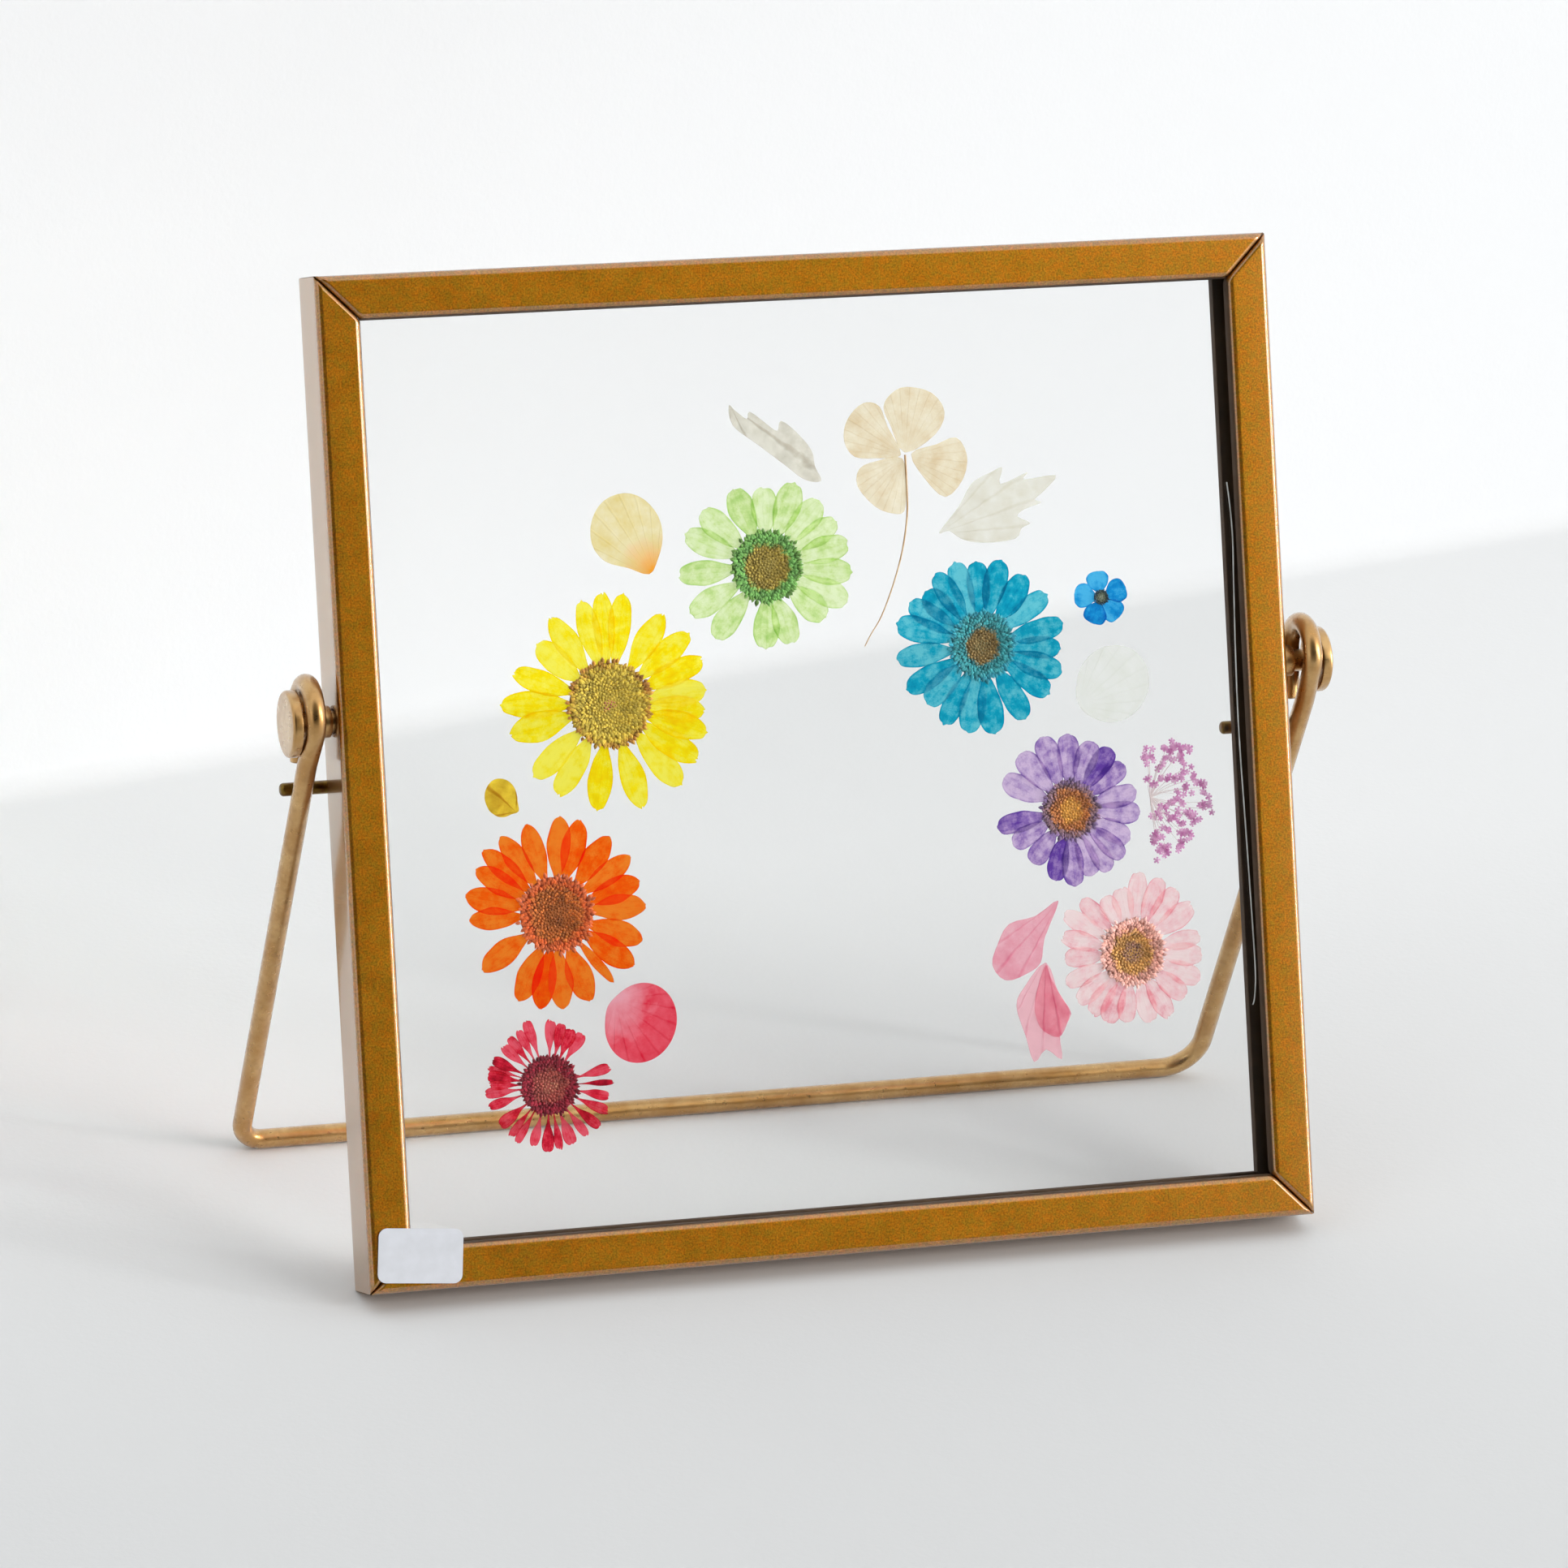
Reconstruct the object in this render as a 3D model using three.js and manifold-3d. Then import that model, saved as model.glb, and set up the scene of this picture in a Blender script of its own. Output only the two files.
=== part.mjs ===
// Pressed flower frame: mitred channel bars round two panes of glass, dried flowers between
// the panes, and a folding wire stand on two rivets. Millimetres, +Z up, +X to the right,
// +Y to the back. The frame is built upright, then leans back as a whole.

import * as THREE from 'three';
import { mergeVertices } from 'three/addons/utils/BufferGeometryUtils.js';
import Module from 'manifold-3d';

const wasm = await Module();
wasm.setup();

// ---- driving dimensions ----

const SIDE = 150; // outer side of the square frame
const DEPTH = 10; // front face to back face
const BAR = 6.7; // width of a bar's face
const SHEET = 0.7; // thickness of the folded metal
const EDGE = 0.9; // radius of the folded edges
const GAP = 0.3; // clearance between pieces that rest on each other

const PANE = 1.8; // thickness of one pane
const PANE_SPACING = 1.2; // room between the panes for the flowers
const PANE_OVERLAP = 3; // how far a pane reaches into each bar

const PIVOT_HEIGHT = 84.6; // rivet axis above the frame's bottom edge, along the frame
const SHANK_R = 1.7;
const HEAD_R = 5;
const HEAD_THICK = 1.7;
const TAIL_R = 3.3; // the rivet's flattened end inside the bar
const TAIL_THICK = 0.8;
const SLEEVE_R = 2.4; // spacer on the rivet between the bar and the wire eye

const WIRE_R = 1.5;
const LEG_ANGLE = THREE.MathUtils.degToRad(38.8); // legs to the frame's plane
const LEG_LENGTH = 79.3; // eye to the crossbar
const LEG_OFFSET = 4.2; // legs pass this far in front of the rivet axis
const EYE_R = 4.7; // centre line of the wire eye
const EYE_RISE = 1; // the eye's middle above the rivet axis, along the leg
const EYE_TURN = THREE.MathUtils.degToRad(212);
const EYE_TAIL = 7.6; // straight end of the eye, back towards the leg
// Distances from the frame's middle to each eye's plane, and to the top and the foot of its leg.
// The legs aren't quite square to the crossbar: both feet sit to the left of their eyes.
const LEFT_LEG = { eye: 78.6, top: 79.1, foot: 80.3, bend: 3.5 };
const RIGHT_LEG = { eye: 79.1, top: 79.2, foot: 76.1, bend: 6 };

const PIN_R = 1;
const PIN_INNER = 67.3; // pin ends, from the frame's middle
const PIN_OUTER = 81.7;

const PETAL_THICK = 0.3;
const CENTRE_THICK = 0.6;
const SHOULDER = 0.82; // a petal is widest at this part of its length
const TIP_WIDTH = 0.45; // its blunt tip, as a part of that width

// Each daisy: the middle of the flower, the radius of its centre, the usual petal width,
// and each petal's direction in degrees with its length.
const DAISIES = {
  red: {
    at: [-44.7, 28.5], centre: 4.4, width: 1.7,
    petals: [[12, 10], [52, 9.6], [64, 9.3], [75, 9.7], [85, 10], [107, 10.7], [117, 9.9],
      [127, 9.8], [137, 9.5], [152, 10], [160, 10], [167, 9.9], [175, 9.5], [183, 10.2],
      [195, 10], [214, 9.9], [228, 9.7], [236, 10.1], [251, 9.5], [266, 10.2], [277, 9.9],
      [289, 9.8], [305, 9.9], [318, 10.4], [333, 10.2], [346, 9.9], [359, 10.3]],
  },
  orange: {
    at: [-42.2, 53.9], centre: 5.7, width: 3.6,
    petals: [[2, 14.1], [17, 14.2], [33, 14.6], [51, 14.4], [71, 14.6], [84, 14.8],
      [106, 14.4], [123, 14.6], [136, 14.9], [148, 14.4], [165, 14.4], [180, 13.6],
      [212, 14.2], [243, 14.3], [257, 14.5], [271, 14.4], [289, 14.2], [308, 13.9],
      [324, 14.6], [340, 14.4]],
  },
  yellow: {
    at: [-32.1, 84.5], centre: 6.4, width: 3.8,
    petals: [[5, 15.5], [21, 16.4], [37, 16.8], [55, 16.1], [79, 17], [91, 17], [103, 16.5],
      [122, 16.1], [138, 14.7], [159, 16], [177, 17.3], [193, 16.3], [219, 16.3],
      [236, 15.9], [260, 16.3], [285, 16.6], [310, 16.9], [326, 16.4], [341, 16.2],
      [353, 15.3]],
  },
  green: {
    at: [-6.4, 103.6], centre: 5.4, width: 3.9,
    petals: [[12, 13.6], [28, 13.5], [46, 13.3], [67, 13.6], [88, 12.1], [111, 13],
      [138, 13.4], [156, 13.8], [182, 14], [207, 14.3], [230, 13.6], [267, 12.5],
      [286, 12.4], [318, 12.5], [335, 14.2], [353, 13.8]],
  },
  blue: {
    at: [27.2, 89.8], centre: 5.1, width: 3.7,
    petals: [[11, 13.6], [33, 13.3], [53, 12.9], [74, 13.5], [90, 12.9], [106, 13.5],
      [121, 13.4], [135, 12.3], [148, 13.4], [163, 14.3], [185, 13.8], [206, 13.9],
      [221, 12.6], [240, 13.5], [258, 13.5], [275, 13.7], [300, 13.4], [323, 13.3],
      [339, 13.6], [355, 13]],
  },
  purple: {
    at: [40, 64.1], centre: 4.5, width: 3.6,
    petals: [[11, 11.2], [34, 11.4], [51, 11.7], [68, 11.2], [88, 11.7], [109, 12.2],
      [131, 12.1], [153, 11.9], [189, 12.1], [206, 10.8], [230, 10.2], [254, 11.2],
      [270, 11.8], [288, 10.9], [302, 11.6], [317, 11.5], [332, 11], [354, 11.6]],
  },
  pink: {
    at: [48.9, 41.8], centre: 5.1, width: 3.3,
    petals: [[9, 11.5], [32, 12.4], [50, 12.2], [65, 12.4], [81, 12.6], [98, 10.2],
      [115, 9.9], [132, 11.7], [148, 12.9], [164, 12], [181, 11.1], [200, 11.9],
      [217, 11.9], [232, 11.6], [246, 11.6], [261, 10.9], [283, 11.4], [299, 11.9],
      [318, 11.2], [336, 12.2], [354, 11.7]],
  },
};

const FORGET_ME_NOT = {
  at: [46.8, 96], centre: 0.9, width: 3.2,
  petals: [[19, 4.3], [97, 4.1], [172, 4.4], [247, 4.3], [313, 4.4]],
};

// Loose petals that are close to an ellipse: middle, half length, half width, direction.
const ROUND_PETALS = {
  red_round_petal: { at: [-29.9, 36.8], half: [6, 5.4], turn: 60, slot: 'red' },
  cream_round_petal: { at: [48, 82.8], half: [6, 5.6], turn: 40, slot: 'cream' },
  yellow_bud: { at: [-49.7, 71.7], half: [2.7, 2.3], turn: 100, slot: 'yellow' },
};

// Pressed leaves and loose petals drawn as outlines, in millimetres from the frame's lower middle.
const OUTLINES = {
  pale_yellow_petal: {
    slot: 'paleYellow',
    points: [[-24.8, 103.7], [-28, 104.6], [-31.6, 105.8], [-33.4, 108.5], [-33.2, 112],
      [-31.2, 114.7], [-28, 115.6], [-25, 114.5], [-23, 112], [-22.5, 108.8], [-23.3, 105.8]],
  },
  cream_folded_leaf: {
    slot: 'cream',
    points: [[-10.7, 127.8], [-10.5, 125], [-6.3, 121.6], [-2.9, 118.9], [0.4, 116.3],
      [2.8, 116.2], [2.1, 118.2], [1.7, 120.7], [-0.5, 123.3], [-2.8, 125.1], [-3.5, 123.8],
      [-5.2, 125], [-7.7, 126.7], [-8.2, 125.8], [-10, 127.2]],
  },
  cream_lobed_leaf: {
    slot: 'cream',
    points: [[21.5, 107.4], [24.7, 111], [27, 114.2], [30.2, 115.7], [31.9, 116.3],
      [31.5, 114], [35.8, 115.4], [35.3, 114.5], [40.1, 114.7], [38.7, 112.8], [36.9, 111.4],
      [37.7, 110.9], [35.2, 110], [34, 109], [35.8, 107.9], [34.6, 107.2], [33.4, 105.8],
      [28.3, 105.5], [25, 106.2], [22.9, 107.6]],
  },
  clover_leaflet_left: {
    slot: 'clover',
    points: [[15.6, 119.2], [13.9, 123.4], [12.9, 126.4], [10.9, 127.2], [9.1, 126.3],
      [7.5, 124.2], [7.2, 121.6], [8.5, 119.5], [12, 119.1]],
  },
  clover_leaflet_top: {
    slot: 'clover',
    points: [[16.6, 119.9], [14.6, 123.6], [13.7, 126.6], [15, 128.4], [17.4, 129.1],
      [21.2, 128.1], [23, 125.3], [21.3, 122.2]],
  },
  clover_leaflet_right: {
    slot: 'clover',
    points: [[17.9, 119.2], [21.6, 120.3], [24.7, 121.2], [26.2, 118.7], [25.4, 115.2],
      [22.6, 112.8], [19.8, 115.3]],
  },
  clover_leaflet_bottom: {
    slot: 'clover',
    points: [[15.8, 118.5], [12, 118.3], [9.4, 117.4], [8.9, 114.9], [11.3, 111.9],
      [14, 110.7], [15.7, 110.9], [16.2, 114]],
  },
  lace_flower_upper_spray: {
    slot: 'lace',
    points: [[52.7, 65.5], [52.1, 71.5], [54, 73], [57.5, 73.6], [60, 72.8], [60.4, 69.5],
      [62.1, 67.6], [61.9, 65.5]],
  },
  lace_flower_lower_spray: {
    slot: 'lace',
    points: [[52.9, 65.1], [62.4, 65.1], [63.2, 62.6], [61.2, 60.4], [59.8, 58.3], [58.7, 56.3],
      [54.6, 55.4], [52.9, 57.9]],
  },
  pink_upper_petal: {
    slot: 'pink',
    points: [[37, 50.2], [33.5, 48.3], [29.3, 47.4], [27.3, 44.5], [26.4, 41.4], [28.2, 39.2],
      [31.5, 39.9], [33.8, 41.4], [34.6, 45]],
  },
  pink_lower_petal: {
    slot: 'pink',
    points: [[34.8, 41], [31.3, 37.7], [29.9, 35], [31, 30.5], [32.1, 26.5], [34.1, 28.1],
      [36.4, 26.6], [36.4, 30.3], [38.3, 33.2], [36.4, 36.5]],
  },
};

const CLOVER_STEM = [[16.5, 118.6], [16.5, 114], [16.3, 110], [15.3, 105], [13.6, 100],
  [11.4, 95.2], [9.6, 92.6], [8.5, 90.8]];
const CLOVER_STEM_R = 0.15;

// Across the window and up it; the fibre lies on the front pane beside the right bar.
const FIBRE = [[67.3, 112.4], [67.6, 109], [67.8, 104], [67.6, 97], [67.3, 86], [67.2, 74],
  [67.5, 60], [67.8, 46], [67.9, 38], [67.6, 34], [67.2, 32.6]];
const FIBRE_R = 0.12;

const LABEL = { at: [-67.3, 5.3], size: [13, 8.1], corner: 1.3, turn: -4.7, thick: 0.15 };

// ---- materials ----

function finish(color, roughness, metalness) {
  return new THREE.MeshStandardMaterial({ color, roughness, metalness });
}

const FINISHES = {
  bars: finish(0xb87c1e, 0.35, 1),
  wire: finish(0xa8763a, 0.4, 1),
  glass: new THREE.MeshStandardMaterial({
    color: 0xf4f8f8, roughness: 0.02, metalness: 0, transparent: true, opacity: 0.2,
  }),
  paper: finish(0xf2f2f6, 0.8, 0),
  fibre: finish(0xd8d8d0, 0.7, 0),
  red: finish(0xc8284a, 0.8, 0),
  orange: finish(0xff6414, 0.8, 0),
  yellow: finish(0xffe60a, 0.8, 0),
  green: finish(0xb8dc84, 0.8, 0),
  blue: finish(0x32a0c8, 0.8, 0),
  purple: finish(0x8c64c0, 0.8, 0),
  pink: finish(0xf4a8b8, 0.8, 0),
  paleYellow: finish(0xf0dc8c, 0.8, 0),
  cream: finish(0xe4e2d6, 0.8, 0),
  clover: finish(0xdcbe9a, 0.8, 0),
  lace: finish(0xcc82b4, 0.8, 0),
  seeds: finish(0x8a6a2c, 0.9, 0),
};

// ---- helpers ----

// Upright frame space: x across, y towards the back, z up the frame.
const frame = new THREE.Group();

function addPiece(name, geometry, material) {
  const mesh = new THREE.Mesh(geometry, material);
  mesh.name = name;
  frame.add(mesh);
  return mesh;
}

function shapeFrom(points) {
  return new THREE.Shape(points.map(([x, y]) => new THREE.Vector2(x, y)));
}

// A flat plate standing in the frame's plane, its outline given across and up the frame.
function plate(shape, thickness) {
  const geometry = new THREE.ExtrudeGeometry(shape, { depth: thickness, bevelEnabled: false });
  geometry.translate(0, 0, -thickness / 2);
  geometry.rotateX(Math.PI / 2);
  return geometry;
}

function toSolid(geometry) {
  const bare = geometry.clone();
  bare.deleteAttribute('normal');
  bare.deleteAttribute('uv');
  const merged = mergeVertices(bare, 1e-4);
  return new wasm.Manifold(new wasm.Mesh({
    numProp: 3,
    vertProperties: new Float32Array(merged.attributes.position.array),
    triVerts: new Uint32Array(merged.index.array),
  }));
}

function fromSolid(solid) {
  const { vertProperties, triVerts } = solid.getMesh();
  const geometry = new THREE.BufferGeometry();
  geometry.setAttribute('position', new THREE.BufferAttribute(vertProperties, 3));
  geometry.setIndex(new THREE.BufferAttribute(triVerts, 1));
  geometry.computeVertexNormals();
  return geometry;
}

// A path whose steps fall exactly on the given points, so straight runs stay cheap.
class StationCurve extends THREE.Curve {
  constructor(stations) {
    super();
    this.stations = stations;
  }

  getPoint(t) {
    const place = t * (this.stations.length - 1);
    const before = Math.min(Math.floor(place), this.stations.length - 2);
    return this.stations[before].clone().lerp(this.stations[before + 1], place - before);
  }

  getPointAt(t) {
    return this.getPoint(t);
  }

  getTangentAt(t) {
    const last = this.stations.length - 1;
    const here = Math.round(t * last);
    const into = this.stations[here].clone().sub(this.stations[Math.max(here - 1, 0)]);
    const out = this.stations[Math.min(here + 1, last)].clone().sub(this.stations[here]);
    return into.normalize().add(out.normalize()).normalize();
  }
}

function sweep(stations, radius, sides) {
  const circle = new THREE.Shape();
  for (let i = 0; i < sides; i += 1) {
    const angle = (i / sides) * 2 * Math.PI;
    const [x, y] = [radius * Math.cos(angle), radius * Math.sin(angle)];
    if (i === 0) circle.moveTo(x, y);
    else circle.lineTo(x, y);
  }
  return new THREE.ExtrudeGeometry(circle, {
    steps: stations.length - 1,
    extrudePath: new StationCurve(stations),
    bevelEnabled: false,
  });
}

// ---- the four bars ----

const SLOT_FRONT = DEPTH / 2 - PANE_SPACING / 2 - PANE - GAP;
const SLOT_BACK = DEPTH - SLOT_FRONT;

// Cross-section of a bar: x inwards from the outer edge, y towards the back.
function channelSection() {
  const inner = BAR - SHEET;
  const section = new THREE.Shape();
  section.moveTo(BAR, SLOT_FRONT);
  section.lineTo(BAR, EDGE);
  section.absarc(BAR - EDGE, EDGE, EDGE, 0, -Math.PI / 2, true);
  section.lineTo(EDGE, 0);
  section.absarc(EDGE, EDGE, EDGE, -Math.PI / 2, -Math.PI, true);
  section.lineTo(0, DEPTH - EDGE);
  section.absarc(EDGE, DEPTH - EDGE, EDGE, Math.PI, Math.PI / 2, true);
  section.lineTo(BAR - EDGE, DEPTH);
  section.absarc(BAR - EDGE, DEPTH - EDGE, EDGE, Math.PI / 2, 0, true);
  section.lineTo(BAR, SLOT_BACK);
  section.lineTo(inner, SLOT_BACK);
  section.lineTo(inner, DEPTH - SHEET);
  section.lineTo(SHEET, DEPTH - SHEET);
  section.lineTo(SHEET, SHEET);
  section.lineTo(inner, SHEET);
  section.lineTo(inner, SLOT_FRONT);
  return section;
}

// One bar along x with both ends mitred, its outer edge on z = 0.
function mitredBar() {
  const geometry = new THREE.ExtrudeGeometry(channelSection(), {
    depth: 1, steps: 1, curveSegments: 3, bevelEnabled: false,
  });
  const spots = geometry.attributes.position;
  for (let i = 0; i < spots.count; i += 1) {
    const [inward, back, end] = [spots.getX(i), spots.getY(i), spots.getZ(i)];
    const halfLength = SIDE / 2 - GAP / 2 - inward;
    spots.setXYZ(i, (end < 0.5 ? 1 : -1) * halfLength, back, inward);
  }
  geometry.computeVertexNormals();
  return geometry;
}

const rivetAxis = { y: DEPTH / 2, z: PIVOT_HEIGHT };

// Side bars have a round hole through the outer wall for the rivet.
function withRivetHole(geometry, side) {
  const drill = new THREE.CylinderGeometry(SHANK_R + GAP, SHANK_R + GAP, 4 * SHEET, 24);
  drill.rotateZ(Math.PI / 2);
  drill.translate((side * SIDE) / 2, rivetAxis.y, rivetAxis.z);
  return fromSolid(toSolid(geometry).subtract(toSolid(drill)));
}

function placedBar(turn) {
  const geometry = mitredBar();
  geometry.translate(0, 0, -SIDE / 2);
  geometry.rotateY(turn);
  geometry.translate(0, 0, SIDE / 2);
  return geometry;
}

addPiece('frame_bottom_bar', placedBar(0), FINISHES.bars);
addPiece('frame_top_bar', placedBar(Math.PI), FINISHES.bars);
addPiece('frame_left_bar', withRivetHole(placedBar(Math.PI / 2), -1), FINISHES.bars);
addPiece('frame_right_bar', withRivetHole(placedBar(-Math.PI / 2), 1), FINISHES.bars);

// ---- glass ----

const paneSide = SIDE - 2 * (BAR - PANE_OVERLAP);
const paneOffset = (PANE_SPACING + PANE) / 2;
for (const [name, offset] of [['front_glass', -paneOffset], ['rear_glass', paneOffset]]) {
  const pane = addPiece(name, new THREE.BoxGeometry(paneSide, PANE, paneSide), FINISHES.glass);
  pane.position.set(0, DEPTH / 2 + offset, SIDE / 2);
}

// ---- wire stand ----

// Leg space: "along" runs up the leg, "across" from the leg towards the back of the eye.
// The rivet axis is at 0, 0 and the leg's centre line at across = -LEG_OFFSET.
const alongLeg = new THREE.Vector3(0, -Math.sin(LEG_ANGLE), Math.cos(LEG_ANGLE));
const acrossLeg = new THREE.Vector3(0, Math.cos(LEG_ANGLE), Math.sin(LEG_ANGLE));

function standPoint(x, along, across) {
  return new THREE.Vector3(x, rivetAxis.y, rivetAxis.z)
    .addScaledVector(alongLeg, along)
    .addScaledVector(acrossLeg, across);
}

// Half the stand, from the tip of the eye's tail to the corner's last station.
function halfStand(side, leg) {
  const eyePoint = (angle) => standPoint(
    side * leg.eye,
    EYE_RISE + EYE_R * Math.sin(angle),
    EYE_R - LEG_OFFSET - EYE_R * Math.cos(angle),
  );
  const tailTip = eyePoint(EYE_TURN)
    .addScaledVector(alongLeg, EYE_TAIL * Math.cos(EYE_TURN))
    .addScaledVector(acrossLeg, EYE_TAIL * Math.sin(EYE_TURN));
  const stations = [tailTip];
  const eyeSteps = 14;
  for (let i = eyeSteps; i >= 0; i -= 1) stations.push(eyePoint((EYE_TURN * i) / eyeSteps));

  const legX = (along) => THREE.MathUtils.mapLinear(along, 0, -LEG_LENGTH, leg.top, leg.foot);
  const legStart = -HEAD_R;
  stations.push(standPoint(side * legX(legStart), legStart, -LEG_OFFSET));
  const bendSteps = 6;
  for (let i = 0; i <= bendSteps; i += 1) {
    const angle = (i / bendSteps) * (Math.PI / 2);
    const along = -LEG_LENGTH + leg.bend * (1 - Math.sin(angle));
    const x = legX(along) - leg.bend * (1 - Math.cos(angle));
    stations.push(standPoint(side * x, along, -LEG_OFFSET));
  }
  return stations;
}

const standStations = [...halfStand(-1, LEFT_LEG), ...halfStand(1, RIGHT_LEG).reverse()];
addPiece('wire_stand', sweep(standStations, WIRE_R, 10), FINISHES.wire);

// ---- rivets and stop pins ----

// A rivet along +x from the bar's outer face: flattened tail inside, shank, head outside.
function rivetGeometry(headStart) {
  const tailEnd = -SHEET - GAP;
  const chamfer = 0.35;
  const profile = [
    [0, tailEnd - TAIL_THICK],
    [TAIL_R, tailEnd - TAIL_THICK],
    [TAIL_R, tailEnd],
    [SHANK_R, tailEnd],
    [SHANK_R, headStart],
    [HEAD_R, headStart],
    [HEAD_R, headStart + HEAD_THICK - chamfer],
    [HEAD_R - chamfer, headStart + HEAD_THICK],
    [0, headStart + HEAD_THICK],
  ].map(([radius, height]) => new THREE.Vector2(radius, height));
  const geometry = new THREE.LatheGeometry(profile, 28);
  geometry.rotateZ(-Math.PI / 2);
  return geometry;
}

// A short tube on the shank, with clearance at both ends and round the shank.
function sleeveGeometry(room) {
  const bore = SHANK_R + GAP;
  const profile = [
    [bore, GAP], [SLEEVE_R, GAP], [SLEEVE_R, room - GAP], [bore, room - GAP], [bore, GAP],
  ].map(([radius, height]) => new THREE.Vector2(radius, height));
  const geometry = new THREE.LatheGeometry(profile, 24);
  geometry.rotateZ(-Math.PI / 2);
  return geometry;
}

for (const [name, side, leg] of [['left', -1, LEFT_LEG], ['right', 1, RIGHT_LEG]]) {
  const eyeMiddle = leg.eye - SIDE / 2;
  const headStart = eyeMiddle + WIRE_R + GAP;
  const rivet = addPiece(`${name}_rivet`, rivetGeometry(headStart), FINISHES.wire);
  const sleeve = addPiece(`${name}_spacer`, sleeveGeometry(eyeMiddle - WIRE_R), FINISHES.wire);
  for (const piece of [rivet, sleeve]) {
    piece.rotation.z = side > 0 ? 0 : Math.PI;
    piece.position.set((side * SIDE) / 2, rivetAxis.y, rivetAxis.z);
  }
}

// The pins lie across the back of the side bars, where the legs come to rest on them.
const pinBack = DEPTH + PIN_R + GAP / 2;
const pinReach = LEG_OFFSET - PIN_R - WIRE_R - GAP + (pinBack - rivetAxis.y) * Math.cos(LEG_ANGLE);
const pinHeight = PIVOT_HEIGHT - pinReach / Math.sin(LEG_ANGLE);

function pinGeometry() {
  const length = PIN_OUTER - PIN_INNER;
  const rounding = [0, 30, 60, 90].map(THREE.MathUtils.degToRad);
  const inner = rounding.map((a) => [PIN_R * Math.sin(a), PIN_R * (1 - Math.cos(a))]);
  const outer = inner.map(([radius, height]) => [radius, length - height]).reverse();
  const profile = [...inner, ...outer].map(([radius, height]) => new THREE.Vector2(radius, height));
  const geometry = new THREE.LatheGeometry(profile, 12);
  geometry.rotateZ(-Math.PI / 2);
  return geometry;
}

for (const [name, side] of [['left_stop_pin', -1], ['right_stop_pin', 1]]) {
  const pin = addPiece(name, pinGeometry(), FINISHES.wire);
  pin.rotation.z = side > 0 ? 0 : Math.PI;
  pin.position.set(side * PIN_INNER, pinBack, pinHeight);
}

// ---- label and stray fibre ----

function labelShape() {
  const [halfW, halfH] = [LABEL.size[0] / 2, LABEL.size[1] / 2];
  const round = LABEL.corner;
  const shape = new THREE.Shape();
  shape.moveTo(halfW, halfH - round);
  shape.absarc(halfW - round, halfH - round, round, 0, Math.PI / 2);
  shape.absarc(-halfW + round, halfH - round, round, Math.PI / 2, Math.PI);
  shape.absarc(-halfW + round, -halfH + round, round, Math.PI, 1.5 * Math.PI);
  shape.absarc(halfW - round, -halfH + round, round, 1.5 * Math.PI, 2 * Math.PI);
  return shape;
}

const labelBlank = new THREE.ExtrudeGeometry(labelShape(), {
  depth: LABEL.thick, curveSegments: 4, bevelEnabled: false,
});
labelBlank.rotateX(Math.PI / 2);
const label = addPiece('paper_label', labelBlank, FINISHES.paper);
label.rotation.y = -THREE.MathUtils.degToRad(LABEL.turn);
label.position.set(LABEL.at[0], -GAP / 2, LABEL.at[1]);

const frontFace = DEPTH / 2 - PANE_SPACING / 2 - PANE;
const fibreStations = FIBRE.map(([x, z]) => new THREE.Vector3(x, frontFace - GAP - FIBRE_R, z));
addPiece('stray_fibre', sweep(fibreStations, FIBRE_R, 6), FINISHES.fibre);

// ---- specimens between the panes ----

function polar(angle, radius) {
  const radians = THREE.MathUtils.degToRad(angle);
  return [radius * Math.cos(radians), radius * Math.sin(radians)];
}

// The petals of one flower as a single star with a round hole for its centre.
function petalStar({ petals, width, centre }) {
  const outline = [];
  petals.forEach(([angle, length], i) => {
    const next = petals[(i + 1) % petals.length][0] + (i + 1 === petals.length ? 360 : 0);
    const spacing = next - angle;
    const half = THREE.MathUtils.radToDeg(Math.atan(width / 2 / (SHOULDER * length)));
    const lean = Math.min(half, spacing * 0.42);
    const parting = width / 2 / Math.tan(THREE.MathUtils.degToRad(spacing / 2));
    const valley = THREE.MathUtils.clamp(parting, centre + 0.8, 0.76 * length);
    const tip = lean * TIP_WIDTH;
    const nextLength = petals[(i + 1) % petals.length][1];
    outline.push(polar(angle + tip, length), polar(angle + lean, SHOULDER * length));
    outline.push(polar(angle + spacing / 2, valley));
    outline.push(polar(next - lean, SHOULDER * nextLength), polar(next - tip, nextLength));
  });
  const star = shapeFrom(outline);
  const hole = [];
  const holeSides = 20;
  for (let i = 0; i < holeSides; i += 1) hole.push(polar((-i * 360) / holeSides, centre + GAP));
  star.holes.push(shapeFrom(hole));
  return star;
}

function centreGeometry(radius) {
  const profile = [
    [0, -CENTRE_THICK / 2],
    [radius * 0.9, -CENTRE_THICK / 2],
    [radius, 0],
    [radius * 0.9, CENTRE_THICK / 2],
    [0, CENTRE_THICK / 2],
  ].map(([r, height]) => new THREE.Vector2(r, height));
  return new THREE.LatheGeometry(profile, 20);
}

function addFlower(name, flower, slot) {
  const petals = addPiece(`${name}_petals`, plate(petalStar(flower), PETAL_THICK), slot);
  petals.position.set(flower.at[0], DEPTH / 2, flower.at[1]);
  const centre = addPiece(`${name}_centre`, centreGeometry(flower.centre), FINISHES.seeds);
  centre.position.set(flower.at[0], DEPTH / 2, flower.at[1]);
}

for (const [colour, flower] of Object.entries(DAISIES)) {
  addFlower(`${colour}_daisy`, flower, FINISHES[colour]);
}
addFlower('forget_me_not', FORGET_ME_NOT, FINISHES.blue);

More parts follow.
